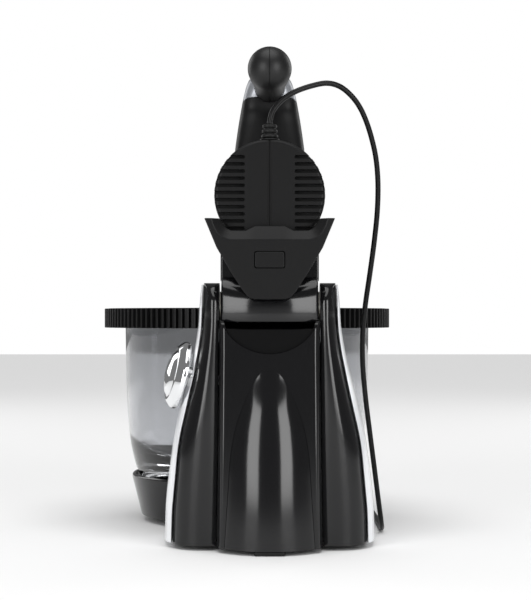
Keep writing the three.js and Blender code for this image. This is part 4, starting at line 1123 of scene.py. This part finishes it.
    def panel(self) -> Shape:
        """The right white side panel.

        Returns:
            The panel.
        """
        rings = []
        for z in steps(self.low_z + 1, 184, 40) + [
            self.hinge_z + (self.ear_r - 1) * math.sin(a) for a in steps(0.1, 1.4, 8)
        ]:
            inner, outer = self.shell_half(z) + 0.35, self.panel_half(z)
            back = self.back(z) + min(13.0, 0.34 * (self.front(z) - self.back(z)))
            front = self.front(z) - 5
            if z > 170:
                front = self.front(z) - 2.5
                back = max(back - (z - 170) * 0.35, self.back(z) + 2.5)
            ring: list[Point] = []
            for t in steps(0, 1, 15):
                lift = math.sin(math.pi * min(1, max(0, t))) ** 0.55 if 0 < t < 1 else 0.0
                ring.append((inner + 0.5 + (outer - inner - 0.5) * lift, back + (front - back) * t, z))
            ring += [(inner, back + (front - back) * 0.96, z), (inner, back + (front - back) * 0.04, z)]
            rings.append(ring)
        return Shape().loft(rings)

    def bulge(self, x: float, z: float) -> float:
        """How far the rear cover's bulge stands out.

        Args:
            x, z: the place on the cover.

        Returns:
            The bulge's height.
        """
        if z >= self.bulge_top:
            return 0.0
        t = abs(x) / self.bulge_half(z)
        if t >= 1:
            return 0.0
        share = (z - self.low_z) / (self.bulge_top - self.low_z)
        return self.bulge_high * (1 - share * share) ** (0.5 + 0.7 * share**5) * (1 - t * t) ** 0.85

    def bulge_half(self, z: float) -> float:
        """Half the bulge's width, down to a hair at its tip.

        Args:
            z: the height.

        Returns:
            The half-width.
        """
        return max(0.4, reading(self.BULGE, z))

    def cover(self) -> Shape:
        """The rear cover with its bulge and its arched top edge.

        Returns:
            The cover.
        """
        shares = [math.sin(a) for a in steps(-math.pi / 2, math.pi / 2, 35)]
        flat = steps(0, 1, 17)[1:]
        straight_top = 147.0

        def row(z: float, lift: float) -> list[Point]:
            joint, half = self.joint(z) - 0.15, self.bulge_half(z)
            corner = 4.6
            turn = [(corner * (1 - math.cos(a)), 1 - math.sin(a)) for a in steps(0, math.pi / 2, 8)]
            edge = joint - corner
            left = [(-joint + inward, drop) for inward, drop in turn]
            left += [(-half - (edge - half) * (1 - t), 0.0) for t in flat[:-1]]
            middle = [(t * half, 0.0) for t in shares]
            right = [(-x, drop) for x, drop in reversed(left)]
            outside = [(-joint, 1.6), *left, *middle, *right, (joint, 1.6)]
            ring: list[Point] = []
            for x, drop in outside:
                top = self.arch_z - math.sqrt(self.arch_r**2 - min(abs(x), 37.6) ** 2)
                at = z + (top - straight_top) * lift
                y = self.cover_back(at) - self.bulge(x, at)
                ring.append((x, y + (self.back(at) + 2.5 - y) * drop, at))
            wall = 2.2
            inside = []
            for x, y, at in ring:
                near_edge = max(0.0, min(1.0, (abs(x) - edge + wall) / corner))
                inside.append((x - math.copysign(wall * near_edge, x), y + wall * (1 - near_edge**3), at))
            return ring + inside[::-1]

        rows = [row(z, 0) for z in steps(self.low_z, 99, 20) + steps(102, 135, 23)]
        rows += [row(z, 0) for z in (136, 136.8, 137.3, self.bulge_top, 140, 143, straight_top)]
        rows += [row(straight_top, t) for t in steps(0, 1, 7)[1:]]
        return Shape().loft(rows, folded=True)

    def build(self) -> None:
        """Makes the column's visible pieces."""
        button = TiltButton()
        stem_hole, seat_r, seat_floor = button.stem_r + 0.8, button.radius + 0.8, 0.3
        stem = button.placed(Shape().rod(stem_hole, -40, 30))
        seat = [(0, -40), (stem_hole, -40), (stem_hole, seat_floor)]
        seat += [(seat_r, seat_floor), (seat_r, 30), (0, 30)]
        stem_and_seat = button.placed(Shape().spin(seat, 72))
        self.shell().piece("side_shell_right_fine", GLOSS_BLACK, "base", ["side_shell_right"])
        self.shell().mirrored().cut(stem).piece(
            "side_shell_left_fine", GLOSS_BLACK, "base", ["side_shell_left"]
        )
        self.panel().piece("side_panel_right_fine", WHITE, "base", ["side_panel_right"])
        self.panel().mirrored().cut(stem_and_seat).piece(
            "side_panel_left_fine", WHITE, "base", ["side_panel_left"]
        )
        self.cover().piece("rear_cover_fine", GLOSS_BLACK, "base", ["rear_cover"])


@dataclass
class TiltButton:
    """The round chrome button on the column's left side."""

    at: Point = (-64.0, 68.0, 130.0)
    turn: float = 12.0
    lean: float = 13.5
    radius: float = 26.5
    stem_r: float = 8.0
    stand_off: float = 4.3

    def placed(self, shape: Shape) -> Shape:
        """Moves a shape made about +Z to the button's place.

        Args:
            shape: the shape.

        Returns:
            The same shape.
        """
        turn, lean = math.radians(self.turn), math.radians(self.lean)
        outward = Vector(
            (-math.cos(turn) * math.cos(lean), -math.sin(turn) * math.cos(lean), math.sin(lean))
        )
        swing = Vector((0, 0, 1)).rotation_difference(outward).to_matrix().to_4x4()
        matrix = Matrix.Translation(self.at) @ swing
        bmesh.ops.transform(shape.bm, matrix=matrix, verts=shape.bm.verts)
        return shape

    def build(self) -> None:
        """Makes the button."""
        s, r = self.stand_off, self.radius
        profile = [
            (0, -14.5),
            (self.stem_r, -14.5),
            (self.stem_r, s),
            (r - 1, s),
            (r, s + 0.9),
            (r, s + 3.4),
            (r - 0.6, s + 4.6),
            (r - 4.5, s + 8.3),
            (r - 5.6, s + 8.8),
            (r - 8, s + 8.6),
            (r - 8.8, s + 9.0),
            (15, s + 11.2),
            (11, s + 12.3),
            (6, s + 13.2),
            (0, s + 13.5),
        ]
        shape = Shape().spin(profile, 96).bevel(0.35, 2, 24)
        self.placed(shape).piece("tilt_button_fine", CHROME, "tilt_button", ["tilt_button"])


# ---------------------------------------------------------------- head


@dataclass
class Arm:
    """The arm's barrel, tray and the cradle plate at its back."""

    hinge_y: float = HINGE_Y
    hinge_z: float = HINGE_Z
    barrel_r: float = 22.0
    barrel_half: float = 37.0
    barrel_low: float = 172.8
    half: float = 38.0
    wall: float = 2.8
    low_z: float = 204.0
    deck_z: float = 225.0
    top_z: float = 236.0
    front_y: float = 200.0

    def barrel_section(self, x: float) -> list[Point]:
        """The hinge barrel's section: round over the top, upright at the back, crowned along X.

        Args:
            x: where the section lies.

        Returns:
            The section's points.
        """
        r, low = self.barrel_r, self.barrel_low
        back = x * x / (2 * 85.0)
        low_front = math.asin((self.hinge_z - low) / r)
        out = [
            (self.hinge_y + r * math.cos(a), self.hinge_z + r * math.sin(a))
            for a in steps(-low_front, math.pi / 2, 24)
        ]
        out += [
            (self.hinge_y + (r - back) * math.cos(a), self.hinge_z + r * math.sin(a))
            for a in steps(math.pi / 2, math.pi, 24)[1:]
        ]
        face = self.hinge_y - r + back
        out += [(face + 0.1, self.hinge_z - 5), (face + 0.4, low + 2.2)]
        out += [(face + 1.2, low + 0.8), (face + 2.8, low)]
        return [(x, y, z) for y, z in out]

    def body(self) -> None:
        """Makes the arm body."""
        across = steps(-self.barrel_half, self.barrel_half, 41)
        barrel = Shape().loft([self.barrel_section(x) for x in across])
        barrel.bevel(1.0, 3, 60)
        pin = Shape().rod(PIN_HOLE_R, -60, 60, 40, "X", (0, self.hinge_y, self.hinge_z))
        barrel.cut(pin)
        inner = self.half - self.wall
        case = Shape().box((-self.half, 50, self.low_z), (self.half, self.front_y, self.top_z))
        case.bevel(1.6, 3)
        case.cut(Shape().box((-inner, 40, self.deck_z), (inner, 210, self.top_z + 5)))
        case.cut(Shape().box((-inner, 69, self.low_z - 5), (inner, self.front_y - 3, self.deck_z - 3.5)))
        holes = Shape()
        for x in (-BEATER_HALF_SPAN, BEATER_HALF_SPAN):
            holes.rod(7.6, 215, 230, at=(x, BEATER_Y, 0))
        case.cut(holes)
        neck = Shape().box((-self.barrel_half, 50.5, 193.5), (self.barrel_half, 66, self.low_z + 2))
        lug = Shape().box((-23, 60, self.low_z + 0.5), (-17, 78, self.low_z + 3))
        lug.add(Shape().box((-23, 70, 186), (-17, 78, self.low_z + 3)))
        case.add(neck).add(lug).add(barrel)
        case.piece("arm_fine", GLOSS_BLACK, "head", ["arm_body"])

    def cradle(self) -> None:
        """Makes the cradle plate with its sloped lip, and its release button."""
        lip_y, back_y, front_y = 12.5, 7.0, 19.0
        right_low = [(12, 190.2), (16, 191.8), (20, 196.6), (28.2, 209.4), (39.7, 228.9), (48.8, 250.8)]
        outer = [(-x, z) for x, z in reversed(right_low)] + right_low
        crease = [(43.6, 250.8), (41.9, 245.2), (39.2, 240.0), (35.0, 236.2)]
        crease += [(29.6, 234.7), (18, 234.6), (11, 234.6)]
        inner = [(37.2, 250.8), (35.8, 248.2), (34.1, 245.6), (31.8, 243.2)]
        inner += [(28.8, 241.9), (18, 241.8), (11.4, 245.2)]
        crease += [(-x, z) for x, z in reversed(crease)]
        inner += [(-x, z) for x, z in reversed(inner)]
        shape = Shape()
        bm = shape.bm
        face = [bm.verts.new((x, back_y, z)) for x, z in outer]
        fold = [bm.verts.new((x, back_y, z)) for x, z in crease]
        lip = [bm.verts.new((x, lip_y, z)) for x, z in inner]
        front_outer = [bm.verts.new((x, front_y, z)) for x, z in outer]
        front_inner = [bm.verts.new((x, front_y, z)) for x, z in inner]
        bm.faces.new(face + fold)
        bm.faces.new(list(reversed(front_outer + front_inner)))
        for near, far in ((fold, lip), (lip, front_inner), (face, front_outer)):
            for k in range(len(near) - 1):
                bm.faces.new([near[k], far[k], far[k + 1], near[k + 1]])
        bm.faces.new([face[-1], front_outer[-1], front_inner[0], lip[0], fold[0]])
        bm.faces.new([face[0], fold[-1], lip[-1], front_inner[-1], front_outer[0]])
        shape.bevel(0.9, 3, 24)
        pocket = rounded([(-11.6, 213.2, 2.2), (11.6, 213.2, 2.2), (11.6, 226.2, 2.2), (-11.6, 226.2, 2.2)])
        shape.cut(Shape().prism(pocket, 0, 17, "Y"))
        foot = Shape().box((-24, 18, 209.4), (24, 33.6, 227))
        foot.add(Shape().box((-33, 30, 225.35), (33, 58, 227.05)))
        clear = Shape().rod(self.barrel_r + 1.2, -60, 60, 48, "X", (0, self.hinge_y, self.hinge_z))
        foot.cut(clear)
        shape.add(foot)
        shape.piece("cradle_fine", SATIN_BLACK, "head", ["cradle"])
        key = rounded([(-11.1, 213.7, 2), (11.1, 213.7, 2), (11.1, 225.7, 2), (-11.1, 225.7, 2)])
        button = Shape().prism(key, 6.6, 11.5, "Y").bevel(0.8, 3, 50)
        button.piece("release_button_fine", SATIN_BLACK, "release_button", ["release_button"])


@dataclass
class Mixer:
    """The hand mixer: motor housing, neck, grip and trim."""

    radius: float = 42.0
    axis_z: float = 269.4
    back_y: float = 22.0
    front_y: float = 223.0
    fillet: float = 3.0
    grip_r: float = 16.3
    ball_r: float = 16.85
    grip_z: float = 366.8
    wall: float = 2.6
    vents: int = 11
    vent_pitch: float = 5.38
    vent_high: float = 2.7
    vent_from: float = 18.8
    trim: float = 1.3
    neck_low: float = 296.0
    neck_top: float = 383.0

    def drum(self) -> Shape:
        """The hollow motor housing with its vents.

        Returns:
            The housing, both halves in one.
        """
        r, f, y0 = self.radius, self.fillet, self.back_y
        outer = [(0, y0)]
        outer += [(18.8, y0), (r - f, y0 + 0.4)]
        turn = steps(0.2, math.pi / 2, 7)
        outer += [(r - f + f * math.sin(a), y0 + 0.4 + f * (1 - math.cos(a))) for a in turn]
        outer += [(r, 60), (r, 100), (r, 150), (r - 0.6, 160), (r - 2.5, 176), (r - 5, 190), (r - 9, 201)]
        outer += [(r - 14, 209), (r - 20, 215), (r - 27, 219), (r - 34, 221.6), (0, self.front_y)]
        w = self.wall
        inner = [(0, y0 + w), (r - w - f, y0 + w), (r - w, y0 + w + f), (r - w, 150), (r - 11.6, 200)]
        inner += [(r - 23, 212), (0, 219)]
        shell = Shape().spin(outer, 128, "Y", (0, 0, self.axis_z))
        shell.cut(Shape().spin(inner, 64, "Y", (0, 0, self.axis_z)))
        slots = Shape()
        first = self.axis_z + 1.5 - self.vent_pitch * (self.vents - 1) / 2
        for k in range(self.vents):
            z = first + k * self.vent_pitch
            for side in (-1, 1):
                a, b = sorted((side * self.vent_from, side * (self.radius + 4)))
                low, high = z - self.vent_high / 2, z + self.vent_high / 2
                near_a, near_b = (1.3, 0) if side > 0 else (0, 1.3)
                outline = rounded(
                    [(a, low, near_a), (b, low, near_b), (b, high, near_b), (a, high, near_a)]
                )
                slots.prism(outline, y0 - 5, y0 + 7, "Y")
        shell.cut(slots)
        return shell

    def neck(self, inset: float) -> Shape:
        """The neck between the housing and the grip.

        Args:
            inset: how far inside its outer surface.

        Returns:
            The neck.
        """
        halves = [(296, 31), (310, 30), (323.4, 28.6), (351.6, 24.6), (366, 21.6), (378.5, 17.6), (383, 13)]
        backs = [(296, 150), (320, 152), (340, 158), (353, 163), (366, 160), (376, 160), (383, 166)]
        fronts = [(296, 214), (320, 216), (352, 211), (366, 206.5), (377, 199), (383, 187)]
        rings = []
        for z in steps(self.neck_low, self.neck_top - inset, 30):
            half = reading(halves, z) - inset
            back, front = reading(backs, z) + inset, reading(fronts, z) - inset
            top = max(0.0, (z - 370) / 13)
            corner = min(half * 0.95, (front - back) * 0.48, 14 + 4 * top)
            places = ((-half, back), (half, back), (half, front), (-half, front))
            outline = rounded([(x, y, corner) for x, y in places], 8)
            rings.append([(x, y, z) for x, y in outline])
        return Shape().loft(rings).bevel(2.2, 4, 50)

    def build(self) -> None:
        """Makes the mixer's shells, handle and trim."""
        self.housing()
        self.handle()

    def housing(self) -> None:
        """Makes the two halves of the motor housing."""
        gearbox = Shape().box((-34, 118, 227.4), (34, 204, 252)).bevel(5, 4)
        sockets = Shape()
        for x in (-BEATER_HALF_SPAN, BEATER_HALF_SPAN):
            sockets.rod(8, 222, 246, at=(x, BEATER_Y, 0))
        gearbox.cut(sockets)
        for side, name in ((1, "right"), (-1, "left")):
            half = self.drum()
            half.boolean(self.half_space(side), "INTERSECT")
            half.bevel(0.3, 2, 60)
            groove = rounded([(-1.9, -1, 0), (1.9, -1, 0), (1.9, 22.2, 0), (0, 23.4, 0), (-1.9, 22.2, 0)])
            half.cut(Shape().prism(groove, self.axis_z - 50, self.axis_z + 50))
            box = gearbox.copy().boolean(self.half_space(side), "INTERSECT")
            half.add(box)
            half.piece("motor_housing_" + name, SATIN_BLACK, "head", ["mixer_housing_" + name])
        gearbox.bm.free()
        strip = Shape().box((-3, 24.3, self.axis_z - 37), (3, 25.3, self.axis_z + 37))
        strip.piece("housing_seam_strip", SATIN_BLACK, "head")

    def half_space(self, side: int) -> Shape:
        """A block that covers one side of the middle plane.

        Args:
            side: 1 for +X, -1 for -X.

        Returns:
            The block.
        """
        a, b = sorted((side * 0.17, side * 80))
        return Shape().box((a, -10, 200), (b, 280, 400))

    def grip(self, grow: float) -> Shape:
        """The grip with its ball-shaped end.

        Args:
            grow: how far outside its surface.

        Returns:
            The grip.
        """
        r, ball = self.grip_r + grow, self.ball_r + grow
        centre = self.back_y + self.ball_r
        profile = [
            (ball * math.sin(a), centre - ball * math.cos(a)) for a in steps(0, math.radians(100), 26)
        ]
        profile += [(r - 0.25, centre + 8), (r - 0.4, centre + 22), (r, centre + 60)]
        profile += [(r, 150), (r, BEATER_Y), (0, BEATER_Y)]
        return self.narrowed(Shape().spin(profile, 96, "Y", (0, 0, self.grip_z)))

    def narrowed(self, shape: Shape) -> Shape:
        """Narrows the grip towards the neck, with its top line kept straight.

        Args:
            shape: the grip, or a piece inside it.

        Returns:
            The same shape.
        """
        top = self.grip_z + self.grip_r
        for vert in shape.bm.verts:
            t = min(1.0, max(0.0, (vert.co.y - 50) / 90))
            k = 1 - 0.22 * t * t * (3 - 2 * t)
            vert.co.x *= k
            vert.co.z = top - (top - vert.co.z) * k
        return shape

    def handle(self) -> None:
        """Makes the grip halves, the neck and the silver trim."""
        zone = [(148, 400), (148, 364), (164, 362), (178, 357), (222, 346), (222, 400)]
        inner = self.neck(self.trim).boolean(Shape().prism(zone, -60, 60, "X"), "INTERSECT")
        low_zone = [(130, 290), (222, 290), (222, 345.6), (178, 356.6), (164, 361.6), (130, 364)]
        low = self.neck(0).boolean(Shape().prism(low_zone, -60, 60, "X"), "INTERSECT")
        low.bevel(0.4, 2, 60)
        slot = Shape().box((-6, 139, 372), (6, 180, 392))
        low.cut(slot.copy())
        inner.cut(slot)
        low.add(inner)
        low.piece("handle_neck", SATIN_BLACK, "head")
        for side, name in ((1, "right"), (-1, "left")):
            half = self.grip(0).boolean(self.half_space(side), "INTERSECT").bevel(0.15, 1, 60)
            half.piece("handle_grip_" + name, SOFT_BLACK, "head")
        core = self.narrowed(Shape().box((-0.16, 30, self.grip_z - 12.6), (0.16, 170, self.grip_z + 15.6)))
        core.spin([(0, 26), (10, 27.5), (15.2, 36), (15.2, 60), (0, 60)], 32, "Y", (0, 0, self.grip_z))
        core.piece("handle_core", SOFT_BLACK, "head")
        trim = self.neck(0).boolean(Shape().prism(zone, -60, 60, "X"), "INTERSECT")
        trim.cut(self.neck(self.trim - 0.3)).cut(self.grip(0.3))
        trim.cut(Shape().box((-6, 139, 372), (6, 180, 392)).add(Shape().box((-9, 184, 366), (9, 196, 392))))
        trim.piece("handle_trim_fine", SILVER, "head", ["handle_trim"])

    def controls(self) -> None:
        """Makes the selector, the turbo button and the eject button."""
        top = self.grip_z + self.grip_r - 1.3
        selector = Shape().box((-5, 144, top - 7), (5, 160, top + 1.6)).bevel(0.5, 2)
        selector.add(Shape().box((-8, 144, top + 1.3), (8, 160, top + 4.4)).bevel(1.2, 3))
        selector.piece("speed_selector_fine", SILVER, "speed_selector", ["speed_selector"])
        key = rounded([(-6, 119, 2), (6, 119, 2), (6, 133, 2), (-6, 133, 2)])
        turbo = Shape().prism(key, top - 5, top + 1.8)
        turbo.bevel(0.7, 3, 50)
        turbo.piece("turbo_button_fine", SATIN_BLACK, "turbo_button", ["turbo_button"])
        eject = Shape().prism(rounded([(-8, 185, 2), (8, 185, 2), (8, 195, 2), (-8, 195, 2)]), 370, 386.2)
        eject.bevel(0.9, 3, 50)
        eject.piece("eject_button_fine", SILVER, "eject_button", ["eject_button"])


@dataclass
class Beater:
    """One beater: a shank, a knob and four bowed wires."""

    name: str
    x: float
    y: float = BEATER_Y
    turn: float = 0.0
    low: float = 50.0
    bow: float = 23.2

    def build(self) -> None:
        """Makes the beater."""
        shape = Shape().spin([(0, self.low + 3), (3.6, self.low + 4), (3.6, 262), (0, 262)], 32)
        knob = [(0, 1), (3.4, 1.4), (5.4, 4), (5.4, 7), (3.8, 9), (0, 9)]
        shape.add(Shape().spin([(r, self.low + h) for r, h in knob], 32))
        knots = [(3.2, 152), (8, 149), (13, 144), (18, 136), (21.4, 126), (self.bow, 112), (self.bow, 98)]
        knots += [(self.bow, 86), (21.6, 74), (18, 65.5), (13.4, 60), (8, 57), (3.0, 55.4)]
        path = [(x, 0, z) for x, z in knots]
        section = rounded([(-2.5, -0.8, 0.5), (2.5, -0.8, 0.5), (2.5, 0.8, 0.5), (-2.5, 0.8, 0.5)], 2)
        for k in range(4):
            wire = Shape().sweep(path, section, (0, 0, 1))
            turn = Matrix.Rotation(self.turn + k * math.pi / 2, 4, "Z")
            bmesh.ops.transform(wire.bm, matrix=turn, verts=wire.bm.verts)
            shape.add(wire)
        bmesh.ops.translate(shape.bm, vec=(self.x, self.y, 0), verts=shape.bm.verts)
        shape.piece(self.name + "_fine", CHROME, "beater_set_" + self.name[7:], [self.name])


# ---------------------------------------------------------------- scene


CAMERA_LENS = 94.74
CAMERA_SHIFT = (-0.007, 0.0266667)
CAMERA_AT = (0, -1168, 177.8)  # from the stand's middle plane and hindmost point
FLOOR_HALF = 6  # metres


def plain_nodes() -> None:
    """Gives every CAD node the finish of its slot, except the hinge well, which gets a darker black as
    painted shade.
    """
    slots = {p["node"]: p["material_slot"] for p in FRAME["record"]["subparts"]}
    for name, node in FRAME["nodes"].items():
        node.data.materials.clear()
        # Painted shade: the hinge well gets the darker black in place of its slot's finish, for the shade in
        # its recess.
        finish = WELL_PAINTED_SHADE_BLACK if name == "hinge_well" else BY_SLOT[slots[name]]
        node.data.materials.append(finish.material())


def camera() -> None:
    """Sets the camera straight behind the stand, level, with a small shift."""
    data = bpy.data.cameras.new("camera")
    data.lens = CAMERA_LENS
    data.sensor_width = 36.0
    data.shift_x, data.shift_y = CAMERA_SHIFT
    data.clip_end = 20
    made = bpy.data.objects.new("camera", data)
    made.location = Place.STAND.point(*CAMERA_AT)
    made.rotation_euler = (math.pi / 2, 0, 0)
    bpy.context.scene.collection.objects.link(made)
    bpy.context.scene.camera = made


def softbox(name: str, at: Point, look: Point, size: Pair, power: float) -> None:
    """Adds a rectangular soft light.

    Args:
        name: its name.
        at, look: where it stands and what it faces, in metres.
        size: its width and height, in metres.
        power: its power, in watts.
    """
    data = bpy.data.lights.new(name, "AREA")
    data.shape = "RECTANGLE"
    data.size, data.size_y = size
    data.energy = power
    made = bpy.data.objects.new(name, data)
    made.location = at
    made.rotation_euler = (Vector(look) - Vector(at)).to_track_quat("-Z", "Y").to_euler()
    bpy.context.scene.collection.objects.link(made)


def studio() -> None:
    """Makes the pale floor, the bright surroundings and the soft lights."""
    bpy.context.scene.view_settings.view_transform = "Standard"
    world = bpy.data.worlds.new("studio")
    world.use_nodes = True
    nodes, links = world.node_tree.nodes, world.node_tree.links
    dim = nodes["Background"]
    dim.inputs["Color"].default_value = (1, 1, 1, 1)
    dim.inputs["Strength"].default_value = 0.2
    bright = nodes.new("ShaderNodeBackground")
    bright.inputs["Color"].default_value = (1, 1, 1, 1)
    bright.inputs["Strength"].default_value = 1.0
    seen = nodes.new("ShaderNodeLightPath")
    mix = nodes.new("ShaderNodeMixShader")
    links.new(seen.outputs["Is Camera Ray"], mix.inputs["Fac"])
    links.new(dim.outputs["Background"], mix.inputs[1])
    links.new(bright.outputs["Background"], mix.inputs[2])
    links.new(mix.outputs["Shader"], nodes["World Output"].inputs["Surface"])
    bpy.context.scene.world = world
    shape = bmesh.new()
    bmesh.ops.create_grid(shape, x_segments=1, y_segments=1, size=FLOOR_HALF)
    mesh = bpy.data.meshes.new("floor")
    shape.to_mesh(mesh)
    shape.free()
    mesh.materials.append(FLOOR.material())
    floor = bpy.data.objects.new("floor", mesh)
    floor.location.z = -0.0005
    bpy.context.scene.collection.objects.link(floor)
    middle = (0.02, -0.08, 0.2)
    softbox("left_box", (-0.92, -1.44, 0.5), (0.02, -0.15, 0.3), (0.7, 0.86), 13)
    softbox("right_box", (0.96, -1.44, 0.5), (0.02, -0.15, 0.3), (0.7, 0.86), 13)
    softbox("front_left", (-1.4, 1.3, 0.9), middle, (0.8, 1.2), 7)
    softbox("front_right", (1.4, 1.3, 0.9), middle, (0.8, 1.2), 7)
    sky = bpy.data.lights.new("overhead", "SUN")
    sky.energy = 2.2
    sky.angle = math.radians(60)
    lamp = bpy.data.objects.new("overhead", sky)
    lamp.rotation_euler = (math.radians(12), 0, 0)
    bpy.context.scene.collection.objects.link(lamp)


def main() -> None:
    """Builds the whole visual model."""
    logging.basicConfig(level=logging.INFO)
    camera()
    plain_nodes()
    PowerCord().build()
    Bowl().vessel()
    Bowl().rim()
    Base().build()
    Column().build()
    TiltButton().build()
    arm = Arm()
    arm.body()
    arm.cradle()
    mixer = Mixer()
    mixer.build()
    mixer.controls()
    Beater("beater_left", -BEATER_HALF_SPAN).build()
    Beater("beater_right", BEATER_HALF_SPAN, turn=math.pi / 4).build()
    studio()


if __name__ == "__main__":
    main()
